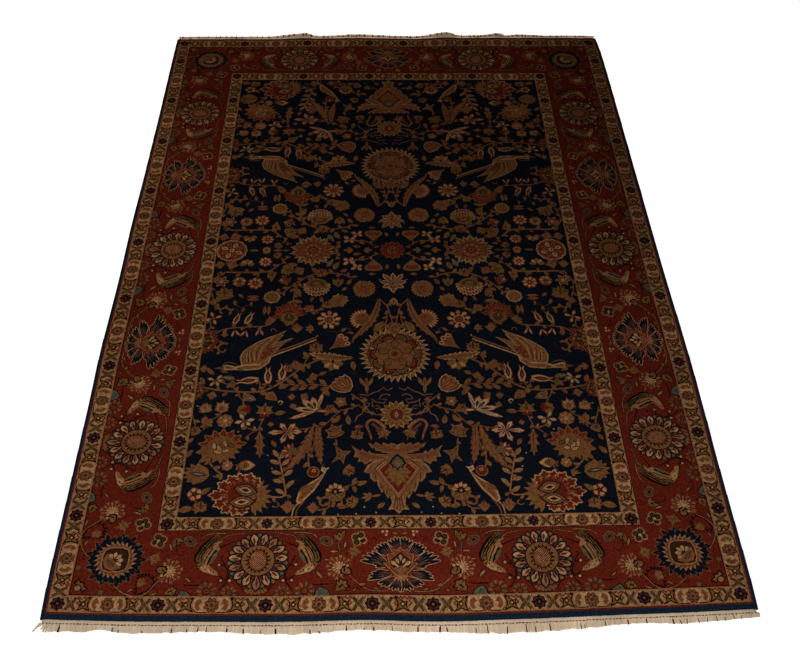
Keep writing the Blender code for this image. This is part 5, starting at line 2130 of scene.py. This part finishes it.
def pile_material():
    """Clipped wool: the dye of each knot, uneven dye lots along the rug, and rows of knots."""
    s = Shader("wool_pile_clipped", 0.92)
    s.out.inputs["Sheen Weight"].default_value = 0.002
    s.out.inputs["Sheen Roughness"].default_value = 0.6
    dye = s.node("ShaderNodeAttribute", attribute_name="dye").outputs["Color"]
    lots = s.noise(1.0, 4.0, s.scaled(0.35, 7.0, 1.0))
    patches = s.noise(2.3, 3.0)
    knots = s.node("ShaderNodeTexVoronoi", Scale=1 / KNOT)
    s.tree.links.new(s.place, knots.inputs["Vector"])
    split = s.node("ShaderNodeSeparateColor", Color=knots.outputs["Color"])
    fibre = s.noise(1500.0, 1.0)
    tone = s.math("MULTIPLY", s.span(lots, 0.3, 0.7, 0.86, 1.14), s.span(patches, 0.3, 0.7, 0.90, 1.10))
    tone = s.math("MULTIPLY", tone, s.span(split.outputs[0], 0.0, 1.0, 0.72, 1.28))
    tone = s.math("MULTIPLY", tone, s.span(fibre, 0.25, 0.75, 0.85, 1.15))
    tone = s.math("MULTIPLY", tone, s.span(s.noise(105.0, 2.0), 0.32, 0.68, 0.70, 1.30))
    pale = s.span(s.node("ShaderNodeSeparateColor", Color=dye).outputs[1], 0.012, 0.08)
    rubbed = s.span(s.noise(58.0, 3.0, roughness=0.6), 0.36, 0.56, 0.26, 0.0)
    worn = s.mix(s.math("MULTIPLY", rubbed, pale), dye, DYES[UMBER])
    s.colour(s.shade(worn, tone))
    s.feed(s.out.inputs["Roughness"], s.span(patches, 0.3, 0.7, 0.86, 0.97))
    tufts = s.span(knots.outputs["Distance"], 0.0, 0.7, 1.0, 0.0)
    s.bump(s.math("ADD", tufts, s.math("MULTIPLY", fibre, 0.5)), 0.7, 0.7 * MM)
    return s.material


def overcast_material():
    """Dark blue wool wound round the side cords, rubbed paler on its ridges."""
    s = Shader("wool_overcast_navy", 0.85)
    s.out.inputs["Sheen Weight"].default_value = 0.01
    wear = s.noise(9.0, 4.0)
    yarn = s.noise(900.0, 2.0, s.scaled(1.0, 3.0, 1.0))
    base = s.mix(s.span(wear, 0.35, 0.75), (0.0065, 0.010, 0.026), (0.014, 0.022, 0.050))
    s.colour(s.shade(base, s.span(yarn, 0.3, 0.7, 0.7, 1.4)))
    s.bump(yarn, 0.5, 0.5 * MM)
    return s.material


def cotton_material(name, pale, dull, weave_scale, tinted=False):
    """Undyed cotton, a little soiled; it may take a tint from the mesh, which on the fringe also carries
    the painted shade of its stitches and slits.
    """
    s = Shader(name, 0.9)
    s.out.inputs["Sheen Weight"].default_value = 0.01
    soil = s.noise(6.0, 5.0)
    yarn = s.noise(weave_scale, 2.0, s.scaled(2.0, 0.7, 1.0))
    base = s.mix(s.span(soil, 0.35, 0.7), pale, dull)
    tone = s.span(yarn, 0.3, 0.7, 0.72, 1.16)
    if tinted:
        base = s.mix(1.0, base, s.node("ShaderNodeAttribute", attribute_name="tint").outputs["Color"],
                     "MULTIPLY")
    s.colour(s.shade(base, tone))
    s.bump(yarn, 0.6, 0.6 * MM)
    return s.material


# ------------------------------------------------------------------ building meshes
def add_object(name, mesh, materials, replaced=(), smooth=False):
    for material in materials:
        mesh.materials.append(material)
    mesh.polygons.foreach_set("use_smooth", [smooth] * len(mesh.polygons))
    obj = bpy.data.objects.new(name, mesh)
    bpy.context.scene.collection.objects.link(obj)
    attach(obj, "root")
    if replaced:
        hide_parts(*replaced)
    return obj


def mosaic(shapes, hole=None, extra=()):
    """Flat triangles of the shapes painted in order: places, triangles, and each triangle's dye."""
    places, faces = [], []
    for dye, points in shapes:
        first = len(places)
        points = turned_ccw(points)
        places += points
        faces.append(range(first, first + len(points)))
    dyes = [dye for dye, _ in shapes]
    if hole:
        first = len(places)
        places += turned_ccw(hole)
        faces.append(range(first, len(places)))
        dyes.append(None)
    places += extra
    found = delaunay_2d_cdt([Vector((z.real, z.imag)) for z in places], [], faces, 0, 1e-3, True)
    verts, _, tris, _, _, sources = found
    kept, colours = [], []
    for tri, source in zip(tris, sources):
        if 0 not in source:
            continue
        dye = dyes[max(source)]
        if dye is not None:
            kept.append(tri)
            colours.append(dye)
    return [complex(*v) for v in verts], kept, colours


GRID_X, GRID_Y = range(-1220, 1230, 14), range(1600, 1790, 16)


def far_grid(outline):
    """Loose points over the buckled strip, so that its triangles follow the rise."""
    far = max(z.imag for z in outline)
    side = max(z.real for z in outline)
    rows = [y for y in GRID_Y if y < far - 2]
    return [complex(x, y) for y in rows for x in GRID_X if abs(x) < side - 2]


def pile_piece(name, places, tris, colours, material):
    """A closed slab of pile: the mosaic on top, walls at its rim and a plain underside."""
    used = sorted({i for tri in tris for i in tri})
    index = {old: new for new, old in enumerate(used)}
    points = [places[i] for i in used]
    x, y = plan_to_frame(points)
    heights = [lift(a, b) + FOUNDATION + PILE_HEIGHT for a, b in zip(x, y)]
    tris = [tuple(index[i] for i in tri) for tri in tris]
    owner = {}
    for tri, colour in zip(tris, colours):
        for a, b in zip(tri, tri[1:] + tri[:1]):
            owner[(a, b)] = DYES[colour]
    rim = [(a, b) for a, b in owner if (b, a) not in owner]
    rim_points = sorted({i for edge in rim for i in edge})
    under = {old: len(points) + k for k, old in enumerate(rim_points)}
    verts = list(zip(x, y, heights))
    verts += [(x[i], y[i], heights[i] - PILE_HEIGHT) for i in rim_points]
    faces = tris + [(b, a, under[a], under[b]) for a, b in rim]
    mesh = bpy.data.meshes.new(name)
    mesh.from_pydata(verts, [], faces)
    bm = bmesh.new()
    bm.from_mesh(mesh)
    open_edges = [e for e in bm.edges if e.is_boundary]
    bmesh.ops.triangle_fill(bm, use_beauty=False, use_dissolve=False, edges=open_edges, normal=(0, 0, -1))
    bm.to_mesh(mesh)
    bm.free()
    dye = mesh.attributes.new("dye", "FLOAT_COLOR", "CORNER")
    values = np.empty((len(mesh.loops), 4), np.float32)
    values[:] = (*DYES[BROWN], 1.0)
    for k, face in enumerate(mesh.polygons):
        n = face.loop_total
        if k < len(tris):
            values[face.loop_start:face.loop_start + n, :3] = DYES[colours[k]]
        elif k < len(tris) + len(rim):
            values[face.loop_start:face.loop_start + n, :3] = owner[rim[k - len(tris)]]
    dye.data.foreach_set("color", values.ravel())
    return add_object(name, mesh, [material], ("carpet",))


def pile():
    """The pile's slabs: each region is cut out along the next one inside it."""
    material = pile_material()
    regions = whole()
    made = []
    order = ("edge", "outer guard", "border", "inner guard", "field")
    for k, name in enumerate(order):
        outline = ring("pile" if name == "edge" else name)
        shapes = regions[name]
        shapes[0] = (shapes[0][0], outline)
        hole = ring(order[k + 1]) if k + 1 < len(order) else None
        places, tris, colours = mosaic(shapes, hole, far_grid(outline))
        halves = {"": lambda z: True}
        if name in ("field", "border"):
            halves = {"_near": lambda z: z.imag < CENTRE[1], "_far": lambda z: z.imag >= CENTRE[1]}
        for suffix, keep in halves.items():
            chosen = [(t, c) for t, c in zip(tris, colours) if keep(sum(places[i] for i in t) / 3)]
            made.append(pile_piece("pile_" + name.replace(" ", "_") + suffix, places,
                                   [t for t, _ in chosen], [c for _, c in chosen], material))
    return made


# ------------------------------------------------------------------ foundation, cords and fringe
def grid_mesh(name, top, under):
    """A closed sheet from two grids of points, given row by row."""
    rows, columns = len(top), len(top[0])
    verts = [p for row in top for p in row] + [p for row in under for p in row]
    size = rows * columns
    faces = []
    for j in range(rows - 1):
        for i in range(columns - 1):
            a = j * columns + i
            faces.append((a, a + 1, a + columns + 1, a + columns))
            faces.append((size + a, size + a + columns, size + a + columns + 1, size + a + 1))
    rim = list(range(columns)) + [j * columns + columns - 1 for j in range(1, rows)]
    rim += [(rows - 1) * columns + i for i in range(columns - 2, -1, -1)]
    rim += [j * columns for j in range(rows - 2, 0, -1)]
    for a, b in zip(rim, rim[1:] + rim[:1]):
        faces.append((b, a, size + a, size + b))
    mesh = bpy.data.meshes.new(name)
    mesh.from_pydata(verts, [], faces)
    mesh.validate()
    return mesh


BAND_NEAR, BAND_FAR = 18.0 * MM, 24.0 * MM
FLAT_SHARE, BUCKLED_SHARE = 0.9, 0.1     # of the body's rows, in front of the buckled zone and in it


def woven_ground():
    """The cotton ground: it shows as a flat-woven band outside the pile at each end."""
    columns = 240
    top, under = [], []
    stations = [("near", -BAND_NEAR * (1 - k / 5)) for k in range(5)]
    stations += [("body", k / 24) for k in range(25)]
    stations += [("far", BAND_FAR * k / 6) for k in range(1, 7)]
    for kind, value in stations:
        line, low_line = [], []
        for i in range(columns + 1):
            u = i / columns
            x = (1 - u) * X_LEFT + u * X_RIGHT
            near, far = float(wall("near", x)), float(wall("far", x))
            if kind == "near":
                y = near + value
            elif kind == "far":
                y = far + value
            elif value < FLAT_SHARE:
                y = near + (far - BUCKLED_ZONE - near) * value / FLAT_SHARE
            else:
                y = far - BUCKLED_ZONE * (1 - value) / BUCKLED_SHARE
            left, right = float(wall("left", y)), float(wall("right", y))
            x = left + (right - left) * u
            h = lift(x, min(y, far + BAND_FAR - 0.001))
            line.append((x, y, h + FOUNDATION - 0.0002))
            low_line.append((x, y, h))
        top.append(line)
        under.append(low_line)
    mesh = grid_mesh("woven_ground", top, under)
    material = cotton_material("cotton_ground", (0.86, 0.67, 0.48), (0.66, 0.50, 0.34), 700.0)
    return add_object("woven_ground", mesh, [material], ("carpet",), True)


def tube(line, radii, sides, thick=None):
    """A closed tube along a line of points, with a radius at each and a half height if it is flat."""
    verts, faces = [], []
    last = len(line) - 1
    for k, (point, radius) in enumerate(zip(line, radii)):
        along = (line[min(k + 1, last)] - line[max(k - 1, 0)]).normalized()
        side = along.cross(Vector((0, 0, 1)))
        side = side.normalized() if side.length > 1e-6 else Vector((1, 0, 0))
        up = side.cross(along)
        for i in range(sides):
            a = 2 * math.pi * i / sides
            verts.append(point + side * (radius * math.cos(a)) + up * ((thick or radius) * math.sin(a)))
    for k in range(last):
        for i in range(sides):
            j = (i + 1) % sides
            faces.append((k * sides + i, k * sides + j, (k + 1) * sides + j, (k + 1) * sides + i))
    faces.append(tuple(range(sides - 1, -1, -1)))
    faces.append(tuple(last * sides + i for i in range(sides)))
    return verts, faces


CORD_RADIUS = 4.5 * MM
WRAP = 4.6 * MM              # from one turn of the overcasting to the next


def side_cord(side, sign, material):
    """A cord of warps that swells and narrows with each turn of the wool round it."""
    node = "side_cord_" + side
    low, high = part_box(node)
    n = int((high.y - low.y) / (WRAP / 2))
    line, radii = [], []
    for k in range(n + 1):
        y = low.y + (high.y - low.y) * k / n
        x = float(wall(side, y)) + sign * (CORD_RADIUS + 0.0003)
        h = lift(x - sign * 0.008, min(y, float(wall("far", x)) - 0.001))
        line.append(Vector((x, y, h + CORD_RADIUS)))
        radii.append(CORD_RADIUS * (1.0 if k % 2 else 0.90))
    verts, faces = tube(line, radii, 10)
    mesh = bpy.data.meshes.new(node + "_overcast")
    mesh.from_pydata(verts, [], faces)
    return add_object(node + "_overcast", mesh, [material], (node,), True)


BUNDLES = 400
STRANDS = 3                  # warps in a bundle
# the dark stitches are partly dark wool, partly painted shade of the holes between knots
STITCH_PITCH = 11.5 * MM     # dark stitches between the flat-woven band and the fringe
LOOP_PITCH = 8.5 * MM        # ends of weft that show along the foot of the pile
SEAM = {"near": 0.60, "far": 0.86}       # where the warps leave the band, as a share of its width
SLIT_ROOT = {"near": 0.0, "far": 0.009}  # how far inside the seam the slits begin
# Tints for the warps. STITCH, WINE and INK colour the stitch beads and slit tubes: partly dark wool, partly
# painted shade in the holes between knots and the gaps between bundles.
CLEAN, STITCH, WINE, INK = (1.0, 1.0, 1.0), (0.11, 0.055, 0.035), (0.13, 0.018, 0.020), (0.022, 0.030,
                                                                                         0.075)
Slit = namedtuple("Slit", "share width reach lean tint")
# Slits between bundles, each drawn as a dark tube: painted shadow of the gap, partly dark weft showing
# through.
NEAR_SLIT_WEFT_AND_SHADOW = (
    Slit(0.028, 9, 0.9, -3, INK), Slit(0.100, 6, 0.9, 2, INK), Slit(0.109, 5, 0.4, 0, WINE),
    Slit(0.141, 5, 0.3, 1, INK), Slit(0.182, 6, 0.9, -2, INK), Slit(0.202, 5, 0.5, 1, WINE),
    Slit(0.218, 6, 0.8, -3, WINE), Slit(0.229, 5, 0.7, 0, WINE), Slit(0.257, 8, 0.9, 0, WINE),
    Slit(0.279, 7, 1.0, 3, WINE), Slit(0.303, 4, 0.4, 1, STITCH), Slit(0.323, 9, 0.9, 4, INK),
    Slit(0.371, 6, 0.5, 2, WINE), Slit(0.383, 5, 0.3, 5, INK), Slit(0.421, 7, 0.8, 1, WINE),
    Slit(0.446, 5, 0.4, -1, STITCH), Slit(0.459, 7, 0.5, 0, WINE), Slit(0.484, 4, 0.7, 3, STITCH),
    Slit(0.520, 7, 0.8, 0, WINE), Slit(0.551, 8, 1.0, -2, INK), Slit(0.559, 7, 0.9, 5, WINE),
    Slit(0.600, 5, 0.6, 1, WINE), Slit(0.616, 5, 0.9, 2, STITCH), Slit(0.644, 6, 0.7, -2, WINE),
    Slit(0.670, 5, 0.8, 2, STITCH), Slit(0.683, 5, 0.6, 0, INK), Slit(0.703, 6, 0.8, 2, WINE),
    Slit(0.746, 5, 0.7, 3, WINE), Slit(0.752, 4, 0.5, 0, STITCH), Slit(0.781, 5, 0.8, 1, STITCH),
    Slit(0.813, 6, 0.7, 1, WINE), Slit(0.839, 7, 0.8, 2, WINE), Slit(0.876, 8, 1.0, 3, INK),
    Slit(0.886, 5, 0.6, 5, WINE), Slit(0.897, 4, 0.7, -3, STITCH), Slit(0.912, 4, 0.6, 4, WINE),
    Slit(0.926, 4, 0.7, -3, STITCH), Slit(0.938, 4, 0.8, 3, INK), Slit(0.951, 4, 0.6, -2, STITCH),
    Slit(0.963, 4, 0.7, 3, STITCH), Slit(0.975, 4, 0.6, -2, STITCH),
)


def fringe_reach(node, sign):
    """How far the fringe reaches at each place across, read from its solid."""
    cell = 0.016
    found = {}
    for v in frame["nodes"][node].data.vertices:
        key = round(v.co.x / cell)
        found[key] = max(found.get(key, -9), sign * v.co.y)
    keys = sorted(found)
    return np.array([k * cell for k in keys]), np.array([found[k] for k in keys])


def fringe(end, sign, seed, material):
    """Loops at the pile's foot, a row of dark stitches that are partly painted shade of the holes between
    knots, short warps, and dark tubes in the slits between them that are painted shadow, partly dark weft.
    """
    node = "fringe_" + end
    draw = random.Random(seed)
    xs, reach = fringe_reach(node, sign)
    band = BAND_NEAR if end == "near" else BAND_FAR
    left, right = X_LEFT + 0.003, X_RIGHT - 0.003
    pitch = (right - left) / (BUNDLES - 1)
    verts, faces, tints = [], [], []

    def add(found, tone, tint=CLEAN):
        first = len(verts)
        verts.extend(found[0])
        faces.extend(tuple(first + i for i in face) for face in found[1])
        tints.extend([[tone * share for share in tint] + [1.0]] * len(found[1]))

    def row(step):
        count = int((right - left) / step)
        return [left + (right - left) * (k + draw.uniform(-0.15, 0.15)) / count for k in range(1, count)]

    seam = SEAM[end] * band

    def edge_at(x):
        return float(wall(end, x)) + sign * seam

    def height(x, y):
        """The top of whatever the warps lie on: the band, or the floor beyond it."""
        past = sign * (y - float(wall(end, x))) - band
        rest = FOUNDATION * min(1.0, max(0.0, 1.0 - past / (2 * MM)))
        return rest + (lift(x, min(y, float(wall(end, x)) + band - 0.001)) if end == "far" else 0.0)

    def bead(x, y, size, long, up, tone, tint):
        middle = Vector((x, y, height(x, y) + up))
        line = [middle + Vector((long * t, 0, 0)) for t in (-1, -0.5, 0.5, 1)]
        add(tube(line, [0.4 * size, size, size, 0.4 * size], 5), tone, tint)

    def length_at(x):
        return max(0.006, sign * (sign * float(np.interp(x, xs, reach)) - edge_at(x)))

    for x in row(LOOP_PITCH):
        bead(x, float(wall(end, x)) + sign * draw.uniform(-0.0005, 0.0015), 0.0022, 0.0036, 0.0022,
             draw.uniform(0.9, 1.05), CLEAN)
    for k in range(BUNDLES):
        x = left + pitch * k + draw.uniform(-0.1, 0.1) * pitch
        edge = edge_at(x)
        length = length_at(x)
        tone = draw.uniform(0.90, 1.08)
        flare = -0.020 * max(0.0, 1 - k / 7) if end == "near" else 0.0
        for strand in range(STRANDS):
            spread = strand - (STRANDS - 1) / 2
            lean = draw.uniform(-0.12, 0.12) * pitch + flare
            out = length * draw.uniform(0.92, 1.0)
            line = []
            for j in range(5):
                t = j / 4
                y = edge + sign * out * t
                line.append(Vector((x + spread * 0.33 * pitch + lean * t, y, height(x, y) + 0.0022)))
            add(tube(line, [0.0014, 0.0018, 0.0017, 0.0018, 0.0012], 5), tone * draw.uniform(0.92, 1.06))
    # stitch beads on the seam: dark wool, partly painted shade of the holes between knots
    for x in row(STITCH_PITCH):
        size = draw.uniform(0.0014, 0.0024)
        bead(x, edge_at(x) + sign * draw.uniform(0.001, 0.003), size, size * 1.5, 0.0034,
             draw.uniform(0.8, 2.4), STITCH)
    # dark tubes in the slits between bundles: painted shadow of the gaps, partly dark weft
    for slit in NEAR_SLIT_WEFT_AND_SHADOW if end == "near" else far_slit_weft_and_shadow(draw):
        x = left + (right - left) * slit.share
        length = length_at(x)
        half = slit.width * MM / 2
        line = []
        for j in range(4):
            t = j / 3
            y = edge_at(x) + sign * (length * (1 - slit.reach * (1 - t)) * 0.99 - SLIT_ROOT[end] * (1 - t))
            line.append(Vector((x + slit.lean * MM * t, y, height(x, y) + 0.0024)))
        add(tube(line, [0.5 * half, 0.9 * half, half, 0.8 * half], 6, 0.0026), 1.0, slit.tint)
    mesh = bpy.data.meshes.new(node + "_warps")
    mesh.from_pydata(verts, [], faces)
    tint = mesh.attributes.new("tint", "FLOAT_COLOR", "FACE")
    tint.data.foreach_set("color", np.array(tints, np.float32).ravel())
    return add_object(node + "_warps", mesh, [material], (node,), True)


def far_slit_weft_and_shadow(draw):
    """Dark tubes all along the far fringe's tips: painted shadow in the nicks between bundles, partly dark
    weft.
    """
    found = []
    share = 0.01
    while share < 0.99:
        found.append(Slit(share, draw.uniform(6, 12), draw.uniform(0.7, 1.0), draw.uniform(-2, 2),
                          draw.choice((WINE, STITCH, STITCH, INK))))
        share += draw.uniform(0.006, 0.022)
    return found


# ------------------------------------------------------------------ floor, light and camera
FLOOR_PROFILE = ((0.0, 0.0), (14.0, 0.0), (16.0, 0.15), (17.4, 0.6), (18.0, 1.1), (18.2, 1.7))
DOME_PROFILE = ((0.0, 15.0), (6.0, 14.2), (12.0, 11.4), (16.0, 7.0), (18.0, 3.0), (18.2, 1.6))


def revolved(name, profile, material):
    """A stage surface swept about the upright axis from (radius, height) pairs; the first radius is 0."""
    steps = 64
    verts = [(0.0, 0.0, profile[0][1])]
    for radius, height in profile[1:]:
        verts += [(radius * math.cos(2 * math.pi * k / steps), radius * math.sin(2 * math.pi * k / steps),
                   height)
                  for k in range(steps)]
    faces = [(0, 1 + k, 1 + (k + 1) % steps) for k in range(steps)]
    for a in range(1, 1 + (len(profile) - 2) * steps, steps):
        faces += [(a + k, a + steps + k, a + steps + (k + 1) % steps,
                   a + (k + 1) % steps) for k in range(steps)]
    mesh = bpy.data.meshes.new(name)
    mesh.from_pydata(verts, [], faces)
    mesh.materials.append(material)
    mesh.polygons.foreach_set("use_smooth", [True] * len(mesh.polygons))
    obj = bpy.data.objects.new(name, mesh)
    obj.location.z = -0.0005
    bpy.context.scene.collection.objects.link(obj)
    return obj


def pale_surface(name, glow):
    s = Shader(name, 0.95)
    mottle = s.noise(0.7, 3.0)
    s.colour(s.mix(s.span(mottle, 0.3, 0.7), (0.90, 0.90, 0.90), (0.93, 0.93, 0.925)))
    s.out.inputs["Emission Color"].default_value = (1.0, 1.0, 0.995, 1.0)
    s.out.inputs["Emission Strength"].default_value = glow
    return s.material


def floor():
    """A pale floor that turns up into a low wall far from the object."""
    return revolved("floor", FLOOR_PROFILE, pale_surface("pale_floor", 0.62))


def backdrop():
    """A pale dome that is only seen, and that neither lights nor shades anything."""
    dome = revolved("backdrop", DOME_PROFILE, pale_surface("pale_backdrop", 0.95))
    dome.visible_diffuse = dome.visible_glossy = dome.visible_shadow = False


FILL_COLOUR = (1.0, 0.88, 0.76)
ROOM_COLOUR, ROOM_STRENGTH = (1.0, 0.72, 0.50, 1), 0.008
FAR_STRIP = ((0.0, 2.40, 0.55), (0.0, 1.8, 0.0), (2.7, 0.2))     # place, aim and size
HUB = (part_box("side_cord_left")[0].x + 1.249, -0.002)            # the plan's middle, in the part's frame
CAMERA_FROM_HUB = (-0.0987, -3.0242, 3.0225)
CAMERA_PITCH, CAMERA_AZIMUTH, CAMERA_ROLL = 49.884, 2.518, 1.571
FOCAL_LENGTH = 916.9         # in pixels of a picture that is 800 wide
PICTURE_WIDTH = 800
SENSOR_WIDTH = 36.0


def area_light(name, place, aim, size, power, receivers, colour=(1.0, 1.0, 1.0)):
    light = bpy.data.lights.new(name, "AREA")
    light.shape = "RECTANGLE"
    light.size, light.size_y = size
    light.energy = power
    light.color = colour
    obj = bpy.data.objects.new(name, light)
    obj.location = place
    obj.rotation_euler = (Vector(aim) - Vector(place)).to_track_quat("-Z", "Y").to_euler()
    obj.visible_camera = False
    bpy.context.scene.collection.objects.link(obj)
    if receivers:
        group = bpy.data.collections.new(name + "_lit")
        for piece in receivers:
            group.objects.link(piece)
        obj.light_linking.receiver_collection = group
    return obj


def camera():
    """The viewpoint of the photograph."""
    x, y, z = CAMERA_FROM_HUB
    place = Vector((x + HUB[0], y + HUB[1], z))
    pitch, azimuth, roll = (math.radians(a) for a in (CAMERA_PITCH, CAMERA_AZIMUTH, CAMERA_ROLL))
    ahead = Vector((math.sin(azimuth) * math.cos(pitch), math.cos(azimuth) * math.cos(pitch),
                    -math.sin(pitch)))
    level = ahead.cross(Vector((0, 0, 1))).normalized()
    up = level.cross(ahead)
    right = (level * math.cos(roll) + up * math.sin(roll)).normalized()
    up = right.cross(ahead)
    data = bpy.data.cameras.new("camera")
    data.sensor_width = SENSOR_WIDTH
    data.lens = FOCAL_LENGTH * SENSOR_WIDTH / PICTURE_WIDTH
    obj = bpy.data.objects.new("camera", data)
    obj.matrix_world = Matrix((right, up, -ahead)).transposed().to_4x4()
    obj.location = place
    bpy.context.scene.collection.objects.link(obj)
    bpy.context.scene.camera = obj


def lights(rug, far_end, ground):
    """A large soft light in front, weak ones at the left and the far end, and a wash for the floor."""
    world = bpy.data.worlds.new("studio")
    world.use_nodes = True
    room = world.node_tree.nodes["Background"]
    room.inputs["Color"].default_value = ROOM_COLOUR
    room.inputs["Strength"].default_value = ROOM_STRENGTH
    bpy.context.scene.world = world
    area_light("near_softbox", (0.0, -2.5, 2.0), (0.08, -1.0, 0.0), (2.6, 1.0), 45, rug)
    area_light("left_fill", (-2.3, 0.5, 1.0), (-1.1, 0.3, 0.0), (1.6, 1.2), 9.5, rug, FILL_COLOUR)
    area_light("far_strip", *FAR_STRIP, 2.4, rug, FILL_COLOUR)
    area_light("band_strip", *FAR_STRIP, 20.0, far_end, FILL_COLOUR)
    sun = bpy.data.lights.new("floor_wash", "SUN")
    sun.energy = 1.6
    sun.angle = 0.6
    obj = bpy.data.objects.new("floor_wash", sun)
    obj.rotation_euler = (0.15, 0.1, 0)
    bpy.context.scene.collection.objects.link(obj)
    group = bpy.data.collections.new("floor_wash_lit")
    group.objects.link(ground)
    obj.light_linking.receiver_collection = group


def main():
    """Every piece, the stage, the light and the camera."""
    cords = overcast_material()
    warp = cotton_material("cotton_fringe", (0.88, 0.69, 0.50), (0.68, 0.51, 0.35), 1200.0, True)
    pieces = pile()
    ground = woven_ground()
    pieces.append(side_cord("left", -1, cords))
    pieces.append(side_cord("right", 1, cords))
    pieces.append(fringe("near", -1, 5, warp))
    far_fringe = fringe("far", 1, 7, warp)
    pieces.append(far_fringe)
    stage = floor()
    backdrop()
    lights(pieces + [ground], [far_fringe, ground], stage)
    camera()
    scene = bpy.context.scene
    scene.view_settings.view_transform = "Standard"
    scene.view_settings.look = "None"


main()
